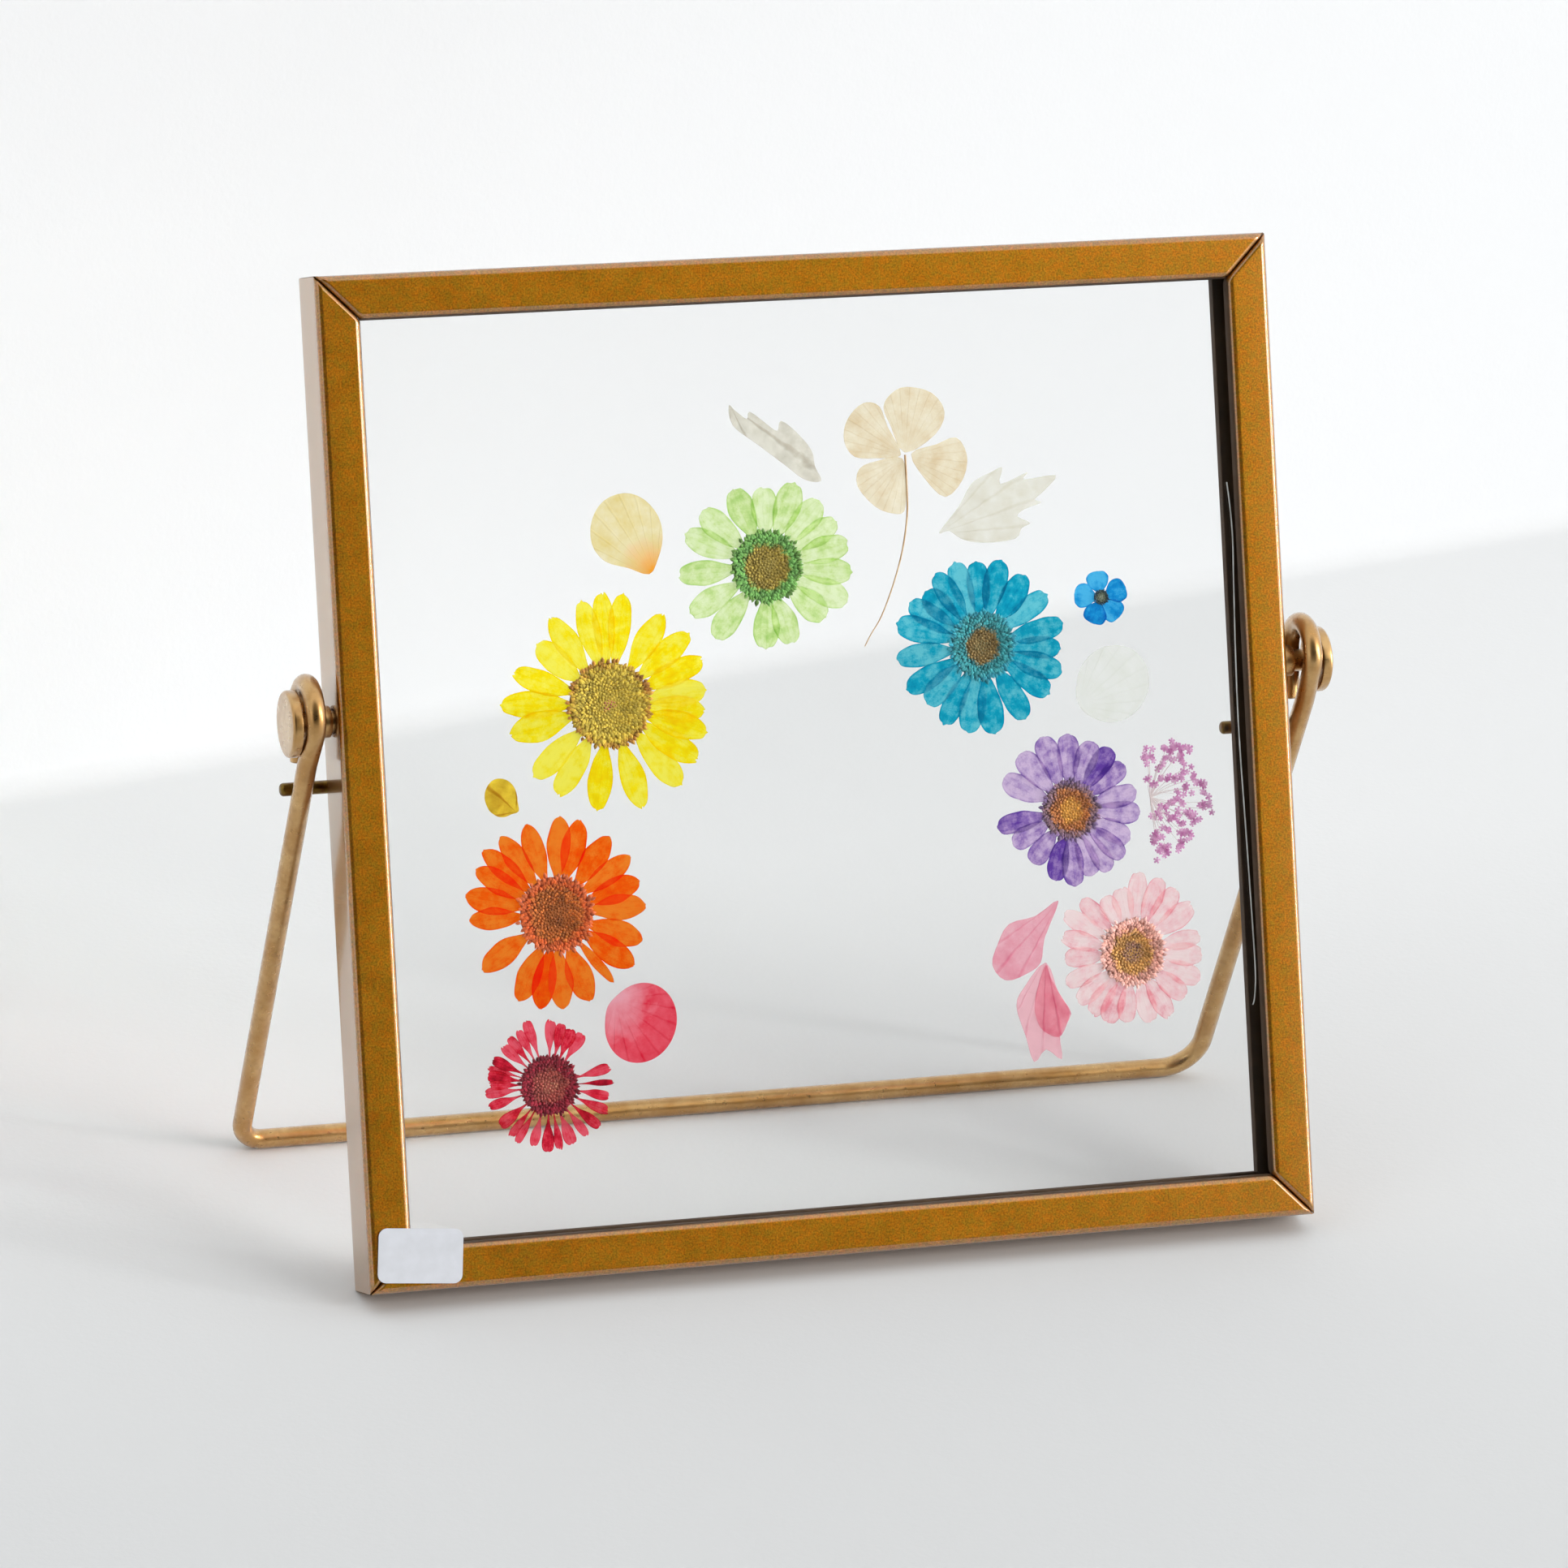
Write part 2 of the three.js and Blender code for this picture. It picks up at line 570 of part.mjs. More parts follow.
for (const [name, petal] of Object.entries(ROUND_PETALS)) {
  const shape = new THREE.Shape();
  shape.absellipse(0, 0, petal.half[0], petal.half[1], 0, 2 * Math.PI);
  const blank = new THREE.ExtrudeGeometry(shape, {
    depth: PETAL_THICK, curveSegments: 20, bevelEnabled: false,
  });
  blank.translate(0, 0, -PETAL_THICK / 2);
  blank.rotateX(Math.PI / 2);
  const mesh = addPiece(name, blank, FINISHES[petal.slot]);
  mesh.rotation.y = -THREE.MathUtils.degToRad(petal.turn);
  mesh.position.set(petal.at[0], DEPTH / 2, petal.at[1]);
}

for (const [name, { slot, points }] of Object.entries(OUTLINES)) {
  const mesh = addPiece(name, plate(shapeFrom(points), PETAL_THICK), FINISHES[slot]);
  mesh.position.y = DEPTH / 2;
}

const stemStations = CLOVER_STEM.map(([x, z]) => new THREE.Vector3(x, DEPTH / 2, z));
addPiece('clover_stem', sweep(stemStations, CLOVER_STEM_R, 6), FINISHES.clover);

// ---- lean the whole object back until it stands on its back edge and the crossbar ----

const footBack = standPoint(0, -LEG_LENGTH, -LEG_OFFSET);
const edgeToFoot = new THREE.Vector2(footBack.y - (DEPTH - EDGE), footBack.z - EDGE);
const lean = edgeToFoot.angle() - Math.asin((WIRE_R - EDGE) / edgeToFoot.length());
frame.rotation.x = -lean;

const standing = new THREE.Group();
standing.add(frame);
standing.updateMatrixWorld(true);
const box = new THREE.Box3().setFromObject(standing, true);
const middle = box.getCenter(new THREE.Vector3());
standing.position.set(-middle.x, -middle.y, -box.min.z);

export default standing;
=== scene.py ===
import math
import random

import bmesh
import bpy
from mathutils import Matrix, Vector


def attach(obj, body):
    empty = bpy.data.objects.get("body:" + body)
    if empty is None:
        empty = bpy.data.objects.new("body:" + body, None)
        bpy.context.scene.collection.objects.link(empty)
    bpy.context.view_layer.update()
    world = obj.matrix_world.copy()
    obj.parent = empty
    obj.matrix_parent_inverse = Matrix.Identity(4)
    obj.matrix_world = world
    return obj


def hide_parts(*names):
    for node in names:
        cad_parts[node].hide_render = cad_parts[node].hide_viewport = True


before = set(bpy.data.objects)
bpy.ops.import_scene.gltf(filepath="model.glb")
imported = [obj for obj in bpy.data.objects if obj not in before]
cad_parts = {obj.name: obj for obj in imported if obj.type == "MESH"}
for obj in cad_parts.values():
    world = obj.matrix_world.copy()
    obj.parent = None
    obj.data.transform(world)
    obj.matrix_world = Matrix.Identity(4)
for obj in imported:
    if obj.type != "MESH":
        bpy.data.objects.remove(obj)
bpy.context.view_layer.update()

# ---- sizes, in metres; the frame is modelled upright and then leans back ----

MM = 0.001
SIDE = 150 * MM
DEPTH = 10 * MM
BAR = 6.7 * MM
GAP = 0.3 * MM
SLOT_FRONT = 2.3 * MM
SLOT_BACK = 7.7 * MM
SLOT_REACH = 3.9 * MM
FOLD_ROUND = 1.05 * MM
MITRE_ROUND = 0.8 * MM
BETWEEN_PANES = 5 * MM

PIVOT_HEIGHT = 84.6 * MM
LEG_ANGLE = math.radians(38.8)
LEG_LENGTH = 79.3 * MM
LEG_OFFSET = 4.2 * MM
WIRE_R = 1.5 * MM
EYE_R = 4.7 * MM
EYE_RISE = 1 * MM
EYE_TURN = math.radians(212)
EYE_TAIL = 7.6 * MM
LEFT_EYE = 78.6 * MM
RIGHT_EYE = 79.1 * MM
HEAD_R = 5 * MM
HEAD_THICK = 1.62 * MM
SHANK_R = 1.7 * MM
SHANK_IN = 1 * MM
TAIL_R = 3.3 * MM
TAIL_THICK = 0.8 * MM
SPACER_R = 2.4 * MM
SPACER_WALL = 0.45 * MM

PETAL_THICK = 0.1 * MM
CLOSE = 0.01 * MM

LEAN = math.radians(23.740479)
STANDING = Matrix.Translation((-0.00025, -0.034657003, 0.003734406)) @ Matrix.Rotation(-LEAN, 4, "X")


# ---- modelling helpers ----

def pressed_at(across, up, deeper=0.0):
    """A place between the panes, given in millimetres across and up the frame."""
    return Vector((across * MM, BETWEEN_PANES + deeper, up * MM))


def put_down():
    """Nothing is selected and nothing is open."""
    if bpy.context.object and bpy.context.object.mode != "OBJECT":
        bpy.ops.object.mode_set(mode="OBJECT")
    bpy.ops.object.select_all(action="DESELECT")


def open_new(name):
    """Fixes the place of the primitive just added and opens it with nothing selected."""
    bpy.ops.object.transform_apply(location=True, rotation=True, scale=True)
    piece = bpy.context.object
    piece.name = name
    piece.data.name = name
    bpy.ops.object.mode_set(mode="EDIT")
    bpy.ops.mesh.select_all(action="DESELECT")
    return piece


def pick(piece, kind, test):
    """Selects the points, edges or faces that pass the test on their middle and direction."""
    bpy.ops.mesh.select_all(action="DESELECT")
    bpy.ops.mesh.select_mode(type=kind)
    shape = bmesh.from_edit_mesh(piece.data)
    if kind == "VERT":
        for point in shape.verts:
            point.select_set(test(point.co))
    elif kind == "EDGE":
        for edge in shape.edges:
            ends = [point.co for point in edge.verts]
            edge.select_set(test((ends[0] + ends[1]) / 2, (ends[1] - ends[0]).normalized()))
    else:
        for face in shape.faces:
            face.select_set(test(face.calc_center_median(), face.normal))
    shape.select_flush_mode()
    bmesh.update_edit_mesh(piece.data)


def pick_all(kind="FACE"):
    bpy.ops.mesh.select_mode(type=kind)
    bpy.ops.mesh.select_all(action="SELECT")


def pull(amount):
    bpy.ops.mesh.extrude_region_move(TRANSFORM_OT_translate={"value": amount})


def resize(value, middle=(0, 0, 0)):
    bpy.ops.transform.resize(value=value, center_override=middle)


def ease(piece, test, width, segments=2, **settings):
    """Rounds the edges that pass the test."""
    pick(piece, "EDGE", test)
    bpy.ops.mesh.bevel(offset=width, segments=segments, affect="EDGES", **settings)


def face_outwards():
    """Turns every face of the open piece outwards and closes the piece."""
    bpy.ops.mesh.normals_make_consistent(inside=False)
    bpy.ops.object.mode_set(mode="OBJECT")


def smooth(angle):
    bpy.ops.object.shade_smooth_by_angle(angle=math.radians(angle))


def close_up(piece, smooth_angle):
    """Merges doubles, turns every face outwards and smooths the gentle edges."""
    pick_all("VERT")
    bpy.ops.mesh.remove_doubles(threshold=0.005 * MM)
    face_outwards()
    smooth(smooth_angle)
    return piece


def flatten_shading(piece):
    """Broad faces keep their own direction, and the rounded edges take the turn."""
    put_down()
    apply_modifier(piece, "WEIGHTED_NORMAL", weight=100, keep_sharp=True)
    return piece


def apply_modifier(piece, kind, **settings):
    bpy.context.view_layer.objects.active = piece
    added = piece.modifiers.new(kind.lower(), kind)
    for key, value in settings.items():
        setattr(added, key, value)
    bpy.ops.object.modifier_apply(modifier=added.name)


def copy_of(piece, name, matrix):
    twin = piece.copy()
    twin.data = piece.data.copy()
    twin.name = name
    bpy.context.scene.collection.objects.link(twin)
    twin.data.transform(matrix)
    return twin


def throw_away(piece):
    bpy.data.objects.remove(piece, do_unlink=True)


def join(pieces, name):
    put_down()
    for piece in pieces:
        piece.select_set(True)
    bpy.context.view_layer.objects.active = pieces[0]
    bpy.ops.object.join()
    joined = bpy.context.object
    joined.name = name
    joined.data.name = name
    return joined


def paint(piece, label, value):
    """Gives every point of the mesh one number, or a number for its place."""
    layer = piece.data.attributes.get(label) or piece.data.attributes.new(label, "FLOAT", "POINT")
    numbers = [value(point.co) if callable(value) else value for point in piece.data.vertices]
    layer.data.foreach_set("value", numbers)


def stand_up(piece, body, material, node):
    """Leans an upright piece back with the frame, and says what it rides on and stands for."""
    put_down()
    piece.data.transform(STANDING)
    piece.data.materials.clear()
    piece.data.materials.append(material)
    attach(piece, body)
    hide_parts(node)


# ---- material helpers ----

class Recipe:
    """The nodes of a material, or of the room's light, added and linked by name."""

    def __init__(self, name, world=False):
        self.owner = (bpy.data.worlds if world else bpy.data.materials).new(name)
        self.owner.use_nodes = True
        self.tree = self.owner.node_tree
        self.tree.nodes.clear()
        self.end = self.add("ShaderNodeOutputWorld" if world else "ShaderNodeOutputMaterial")

    def feed(self, socket, value):
        if isinstance(value, bpy.types.NodeSocket):
            self.tree.links.new(value, socket)
        else:
            socket.default_value = value

    def add(self, kind, settings=None, **sockets):
        """A node. A socket is given by its name, or by its number after an underscore."""
        node = self.tree.nodes.new(kind)
        for key, value in (settings or {}).items():
            setattr(node, key, value)
        for key, value in sockets.items():
            self.feed(node.inputs[int(key[1:]) if key[0] == "_" else key.replace("_", " ")], value)
        return node

    def place(self, at=(0, 0), stretch=(1, 1, 1)):
        """Millimetres across and up the frame, measured from a place on it."""
        origin = STANDING @ pressed_at(*at)
        turned = Matrix.Rotation(math.pi / 2 - LEAN, 4, "X")
        here = self.add("ShaderNodeTexCoord").outputs["Object"]
        return self.add("ShaderNodeMapping", {"vector_type": "TEXTURE"}, Vector=here,
                        Location=origin, Rotation=turned.to_euler("XYZ"),
                        Scale=[MM * part for part in stretch]).outputs[0]

    def noise(self, vector, scale, detail=3.0, roughness=0.55, twist=0.0):
        return self.add("ShaderNodeTexNoise", Vector=vector, Scale=scale, Detail=detail,
                        Roughness=roughness, Distortion=twist).outputs["Fac"]

    def ramp(self, value, low, high, out_low=0.0, out_high=1.0, kind="LINEAR"):
        return self.add("ShaderNodeMapRange", {"interpolation_type": kind}, _0=value, _1=low,
                        _2=high, _3=out_low, _4=out_high).outputs[0]

    def maths(self, operation, first, second=0.5):
        return self.add("ShaderNodeMath", {"operation": operation}, _0=first, _1=second).outputs[0]

    def times(self, first, second):
        return self.maths("MULTIPLY", first, second)

    def sum(self, *values):
        total = values[0]
        for value in values[1:]:
            total = self.maths("ADD", total, value)
        return total

    def part(self, vector, axis):
        return self.add("ShaderNodeSeparateXYZ", _0=vector).outputs[axis]

    def mix(self, amount, first, second, how="MIX"):
        """Two colours mixed."""
        return self.add("ShaderNodeMix", {"data_type": "RGBA", "blend_type": how}, _0=amount,
                        _6=first, _7=second).outputs[2]

    def bump(self, height, depth, strength):
        return self.add("ShaderNodeBump", Strength=strength, Distance=depth, Height=height).outputs[0]

    def painted(self, label):
        return self.add("ShaderNodeAttribute", {"attribute_name": label}).outputs["Fac"]

    def surface(self, **sockets):
        return self.add("ShaderNodeBsdfPrincipled", **sockets).outputs[0]

    def clear(self, colour=(1, 1, 1, 1)):
        return self.add("ShaderNodeBsdfTransparent", Color=colour).outputs[0]

    def blend(self, amount, first, second):
        """Two finishes mixed."""
        return self.add("ShaderNodeMixShader", _0=amount, _1=first, _2=second).outputs[0]

    def back_side(self):
        return self.add("ShaderNodeNewGeometry").outputs["Backfacing"]

    def finish(self, surface):
        self.tree.links.new(surface, self.end.inputs["Surface"])
        return self.owner


def tint(red, green, blue):
    """A colour as a painter names it, 0 to 255, for a shader."""
    def straight(part):
        part = part / 255
        return part / 12.92 if part <= 0.04045 else ((part + 0.055) / 1.055) ** 2.4
    return (straight(red), straight(green), straight(blue), 1.0)


# ---- metal, paper and glass ----

def pale_at_the_edge(r, metal, share):
    """Lacquered metal loses its colour and shines where it is seen from the side."""
    facing = r.add("ShaderNodeLayerWeight", Blend=0.5).outputs["Facing"]
    steep = r.maths("POWER", facing, 2.4)
    lacquer = r.add("ShaderNodeBsdfAnisotropic", Color=(0.79, 0.75, 0.69, 1), Roughness=0.22)
    return r.blend(r.times(steep, share), metal, lacquer.outputs[0])


def gold_bar_material():
    r = Recipe("gold_bar_metal")
    here = r.place()
    blotch = r.noise(here, 0.25, detail=5)
    grain = r.noise(here, 3.6, detail=2)
    fleck = r.noise(here, 1.1, detail=4, roughness=0.7)
    warm = r.mix(r.ramp(blotch, 0.35, 0.68), tint(190, 127, 19), tint(205, 143, 31))
    mottled = r.mix(r.ramp(fleck, 0.38, 0.62), r.mix(0.6, warm, tint(200, 112, 8)),
                    r.mix(0.6, warm, tint(154, 118, 20)))
    grainy = r.mix(r.ramp(grain, 0.36, 0.64), tint(200, 200, 200), tint(255, 255, 255))
    speck = r.ramp(r.noise(here, 1.7, detail=1), 0.73, 0.78)
    worn = r.mix(r.times(speck, 0.5), r.mix(1.0, mottled, grainy, "MULTIPLY"), tint(120, 76, 22))
    dull = r.ramp(r.sum(blotch, r.times(grain, 0.4)), 0.4, 1.0, 0.4, 0.54)
    relief = r.sum(grain, fleck, r.times(blotch, 0.8))
    metal = r.surface(Base_Color=worn, Metallic=1.0, Roughness=dull, Coat_Weight=1.0,
                      Coat_Roughness=0.08, Coat_IOR=1.9, Normal=r.bump(relief, 0.02 * MM, 0.8))
    # The pane slot walls and the inner edge face are painted dark brown: painted shade in the recess,
    # with some tarnish.
    shade = r.mix(blotch, tint(62, 46, 32), tint(92, 68, 46))
    slot_painted_shade = r.surface(Base_Color=shade, Roughness=0.6, Specular_IOR_Level=0.25,
                       Normal=r.bump(grain, 0.01 * MM, 0.5))
    return r.finish(r.blend(r.painted("inner"), pale_at_the_edge(r, metal, 0.7), slot_painted_shade))


def gold_wire_material():
    r = Recipe("gold_wire_metal")
    here = r.place()
    streaks = r.noise(here, 0.8, detail=4)
    patch = r.noise(here, 0.16, detail=3)
    worn = r.mix(r.ramp(patch, 0.4, 0.66), tint(186, 140, 80), tint(206, 166, 108))
    dull = r.mix(r.ramp(streaks, 0.5, 0.74, 0.0, 0.35), worn, tint(158, 112, 60))
    metal = r.surface(Base_Color=dull, Metallic=1.0, Roughness=r.ramp(streaks, 0.3, 0.75, 0.24, 0.42),
                      Coat_Weight=0.5, Coat_Roughness=0.14, Normal=r.bump(streaks, 0.01 * MM, 0.2))
    return r.finish(pale_at_the_edge(r, metal, 0.6))


def clear_glass_material():
    r = Recipe("clear_pane")
    here = r.place()
    smear = r.ramp(r.noise(here, 0.03, detail=5, twist=0.6), 0.62, 0.8, 0.0, 0.012)
    pane = r.surface(Base_Color=(0.995, 0.998, 0.997, 1), Roughness=smear, IOR=1.36,
                     Transmission_Weight=1.0)
    lamp_light = r.add("ShaderNodeLightPath").outputs["Is Shadow Ray"]
    return r.finish(r.blend(lamp_light, pane, r.clear((0.97, 0.975, 0.973, 1))))


def white_paper_material():
    r = Recipe("white_paper")
    here = r.place()
    fibres = r.noise(here, 5.0, detail=4)
    shade = r.mix(r.ramp(r.noise(here, 0.4), 0.3, 0.7), tint(213, 215, 220), tint(221, 223, 229))
    return r.finish(r.surface(Base_Color=shade, Roughness=0.55, Normal=r.bump(fibres, 0.01 * MM, 0.5)))


# The pale thread's colour stands in for the bright refraction line at the edge of the glass: a painted
# highlight.
def painted_highlight_thread_material():
    r = Recipe("pale_fibre")
    along = r.noise(r.place(stretch=(1, 6, 1)), 2.0)
    shade = r.mix(r.ramp(along, 0.35, 0.65), tint(176, 176, 172), tint(232, 232, 228))
    return r.finish(r.surface(Base_Color=shade, Roughness=0.5, Sheen_Weight=0.3,
                              Normal=r.bump(along, 0.02 * MM, 0.4)))


# ---- pressed petals, leaves and seed heads ----

def thin_surface(r, colour, normal, glow, sheer):
    """Light falls on a thin dry petal, shines through it, and is stained as by coloured film.
    The sheet has two sides and colours the light once, so its inner side is clear."""
    face = r.surface(Base_Color=colour, Roughness=0.7, Specular_IOR_Level=0.1, Normal=normal)
    through = r.add("ShaderNodeBsdfTranslucent", Color=colour, Normal=normal).outputs[0]
    sheet = r.blend(sheer, r.blend(glow, face, through), r.clear(colour))
    return r.finish(r.blend(r.back_side(), sheet, r.clear()))


def petal_material(name, light, middle, deep, ribs, glow, sheer):
    """A dyed daisy petal: watery blotches, ribs along it and a darker rim."""
    r = Recipe(name)
    here = r.place()
    across = r.part(r.add("ShaderNodeUVMap").outputs[0], "X")
    blotch = r.noise(here, 0.55, detail=4, roughness=0.6)
    grain = r.noise(here, 5.5, detail=2)
    wander = r.times(r.noise(here, 0.7), 1.6)
    rib = r.ramp(r.maths("SINE", r.sum(r.times(across, 25.1), wander)), 0.35, 1.0)
    rim = r.ramp(r.maths("ABSOLUTE", r.sum(across, -0.5)), 0.4, 0.5)
    strength = r.sum(r.ramp(blotch, 0.34, 0.66, 0.0, 0.7), r.times(r.painted("tone"), 0.7),
                     r.times(rim, 0.35), r.times(rib, ribs * 0.35), r.times(grain, 0.55), -0.62)
    wash = r.mix(r.ramp(strength, 0.0, 0.55), light, middle)
    colour = r.mix(r.ramp(strength, 0.5, 1.05), wash, deep)
    height = r.sum(r.times(rib, ribs), r.times(blotch, 0.7), r.times(grain, 0.25))
    return thin_surface(r, colour, r.bump(height, 0.06 * MM, 0.7), glow, sheer)


def leaf_material(name, light, deep, base, spread, veins, glow, sheer, root_tint_and_sheen=None):
    """A pressed leaf or loose petal whose veins fan out from where it was joined. Near there it may
    take a tint of its own, given as the colour and how far it reaches in millimetres: the real root
    colour of the pale yellow petal, and a painted sheen on the red round petal."""
    r = Recipe(name)
    here = r.place(at=base)
    turned = r.add("ShaderNodeTexGradient", {"gradient_type": "RADIAL"}, _0=here).outputs["Fac"]
    wander = r.times(r.noise(here, 0.35, detail=3), 1.4)
    vein = r.ramp(r.maths("SINE", r.sum(r.times(turned, spread * 2 * math.pi), wander)), 0.82, 1.0)
    blotch = r.noise(here, 0.3, detail=5, roughness=0.6)
    grain = r.noise(here, 4.5, detail=2)
    strength = r.sum(r.ramp(blotch, 0.3, 0.7, 0.0, 0.8), r.times(vein, veins), r.times(grain, 0.35),
                     r.painted("tone"), -0.15)
    colour = r.mix(r.ramp(strength, 0.0, 1.1), light, deep)
    if root_tint_and_sheen:
        # Near the base place the colour gives way to a tint of its own: the real orange root of the
        # pale yellow petal, and the painted sheen of the red round petal.
        far = r.add("ShaderNodeVectorMath", {"operation": "LENGTH"}, _0=here).outputs["Value"]
        near = r.ramp(r.sum(far, r.ramp(blotch, 0.3, 0.7, -1.5, 1.5)), 0.5, root_tint_and_sheen[1], 1.0, 0.0)
        colour = r.mix(near, colour, root_tint_and_sheen[0])
    height = r.sum(vein, blotch, r.times(grain, 0.3))
    return thin_surface(r, colour, r.bump(height, 0.08 * MM, 0.7), glow, sheer)


def seed_material(name, heart, disc, ring, rim, disc_part, heart_part):
    """Tiny dry florets, coloured in rings from the heart of the flower out to its rim."""
    r = Recipe(name)
    here = r.place()
    far = r.sum(r.painted("reach"), r.ramp(r.noise(here, 0.8), 0.3, 0.7, -0.1, 0.1))
    inner = r.mix(r.ramp(far, heart_part * 0.6, heart_part), heart, disc)
    outer = r.mix(r.ramp(far, disc_part - 0.06, disc_part + 0.06), inner, ring)
    colour = r.mix(r.ramp(far, 0.86, 1.0), outer, rim)
    # The tone gives each floret its own random lightness, and the cushion's low tone darkens the gaps
    # between florets as painted shade.
    shade = r.ramp(r.sum(r.painted("tone"), r.times(r.noise(here, 4.0), 0.5)), 0.15, 1.25, 0.5, 1.35)
    lit = r.add("ShaderNodeHueSaturation", Color=colour, Value=shade).outputs[0]
    return r.finish(r.surface(Base_Color=lit, Roughness=0.75, Specular_IOR_Level=0.3,
                              Sheen_Weight=0.15, Normal=r.bump(r.noise(here, 6.0), 0.05 * MM, 0.6)))


# ---- the four bars ----

def mitred_bar(name):
    """A bar along X with its outer edge on Z = 0, slotted for the panes and mitred."""
    mitre = (SIDE - GAP / 2) / 2
    put_down()
    bpy.ops.mesh.primitive_cube_add(size=1, location=(0, DEPTH / 2, BAR / 2),
                                    scale=(SIDE + 2 * BAR, DEPTH, BAR))
    bar = open_new(name)
    for place in (SLOT_FRONT, SLOT_BACK):
        pick_all()
        bpy.ops.mesh.bisect(plane_co=(0, place, 0), plane_no=(0, 1, 0))
    pick(bar, "FACE", lambda middle, normal: normal.z > 0.9 and abs(middle.y - DEPTH / 2) < 1 * MM)
    pull((0, 0, -SLOT_REACH))

    def folded(middle, way):
        return abs(way.x) > 0.9 and min(abs(middle.y), abs(middle.y - DEPTH)) < CLOSE
    ease(bar, folded, FOLD_ROUND, 6)

    def lip(middle, way):
        in_slot = min(abs(middle.y - SLOT_FRONT), abs(middle.y - SLOT_BACK)) < CLOSE
        return abs(way.x) > 0.9 and in_slot and middle.z > BAR - 0.1 * MM
    ease(bar, lip, 0.25 * MM)
    for end in (-1, 1):
        pick_all("VERT")
        bpy.ops.mesh.bisect(plane_co=(end * mitre, 0, 0), plane_no=(end, 0, 1),
                            clear_outer=True, use_fill=True)

    def mitre_edge(middle, way):
        on_cut = abs(abs(middle.x) + middle.z - mitre) < 2 * CLOSE
        return on_cut and middle.y < SLOT_FRONT and abs(way.x) > 0.3
    ease(bar, mitre_edge, MITRE_ROUND, 4, clamp_overlap=False)
    flatten_shading(close_up(bar, 35))

    # Marks the slot walls and the inner edge face, where the bar takes its dark painted shade.
    def slot_shade_mask(co):
        between = abs(co.y - DEPTH / 2) < DEPTH / 2 - SLOT_FRONT + 0.3 * MM
        in_slot = between and co.z > BAR - SLOT_REACH - 0.1 * MM
        on_edge = co.z > BAR - 0.2 * MM and 0.5 * MM < co.y < DEPTH - 0.5 * MM
        return 1.0 if in_slot or on_edge else 0.0
    paint(bar, "inner", slot_shade_mask)
    return bar


def turned_about_middle(angle):
    middle = Matrix.Translation((0, 0, SIDE / 2))
    return middle @ Matrix.Rotation(angle, 4, "Y") @ middle.inverted()


def build_bars(metal):
    pattern = mitred_bar("bar_pattern")
    for name, angle in (("bottom", 0), ("left", 90), ("top", 180), ("right", -90)):
        bar = copy_of(pattern, name + "_bar_folded", turned_about_middle(math.radians(angle)))
        stand_up(bar, "frame", metal, "frame_" + name + "_bar")
    throw_away(pattern)


# ---- wire stand, rivets, spacers and pins ----

def wire_stand():
    """One bent wire. It is modelled with its legs upright, then swung to their angle."""
    left_knee, left_foot, left_bend = -79.1 * MM, -80.3 * MM, 3.5 * MM
    right_knee, right_foot, right_bend = 79.2 * MM, 76.1 * MM, 6 * MM
    knee_drop = 4.5 * MM
    put_down()
    tail_way = Vector((0, math.sin(EYE_TURN), math.cos(EYE_TURN)))
    eye_middle = (-LEFT_EYE, EYE_R - LEG_OFFSET, EYE_RISE)
    eye_end = Vector(eye_middle) + EYE_R * Vector((0, -math.cos(EYE_TURN), math.sin(EYE_TURN)))
    start = eye_end + tail_way * EYE_TAIL
    bpy.ops.mesh.primitive_circle_add(vertices=20, radius=WIRE_R, fill_type="NGON",
                                      location=start, rotation=(-EYE_TURN, 0, 0))
    wire = open_new("bent_wire_stand")
    pick_all()
    pull(-tail_way * EYE_TAIL)
    bpy.ops.mesh.spin(steps=30, angle=EYE_TURN, center=eye_middle, axis=(-1, 0, 0))
    pull((left_knee + LEFT_EYE, 0, -knee_drop - EYE_RISE))
    pull((left_foot - left_knee, 0, -(LEG_LENGTH - left_bend - knee_drop)))
    corner = (left_foot + left_bend, -LEG_OFFSET, -LEG_LENGTH + left_bend)
    bpy.ops.mesh.spin(steps=12, angle=math.pi / 2, center=corner, axis=(0, 1, 0))
    pull((right_foot - right_bend - left_foot - left_bend, 0, 0))
    corner = (right_foot - right_bend, -LEG_OFFSET, -LEG_LENGTH + right_bend)
    bpy.ops.mesh.spin(steps=12, angle=math.pi / 2, center=corner, axis=(0, 1, 0))
    pull((right_knee - right_foot, 0, LEG_LENGTH - right_bend - knee_drop))
    pull((RIGHT_EYE - right_knee, 0, knee_drop + EYE_RISE))
    eye_middle = (RIGHT_EYE, EYE_R - LEG_OFFSET, EYE_RISE)
    bpy.ops.mesh.spin(steps=30, angle=EYE_TURN, center=eye_middle, axis=(1, 0, 0))
    pull(tail_way * EYE_TAIL)
    close_up(wire, 60)
    apply_modifier(wire, "BEVEL", width=0.3 * MM, segments=2, limit_method="ANGLE",
                   angle_limit=math.radians(60))
    swing = Matrix.Translation((0, DEPTH / 2, PIVOT_HEIGHT)) @ Matrix.Rotation(LEG_ANGLE, 4, "X")
    wire.data.transform(swing)
    return wire


def set_on_axis(piece, side):
    """Turns a piece modelled upright onto the pivot axis, outwards from one side."""
    axis = Matrix.Translation((side * SIDE / 2, DEPTH / 2, PIVOT_HEIGHT))
    piece.data.transform(axis @ Matrix.Rotation(side * math.pi / 2, 4, "Y"))
    return piece


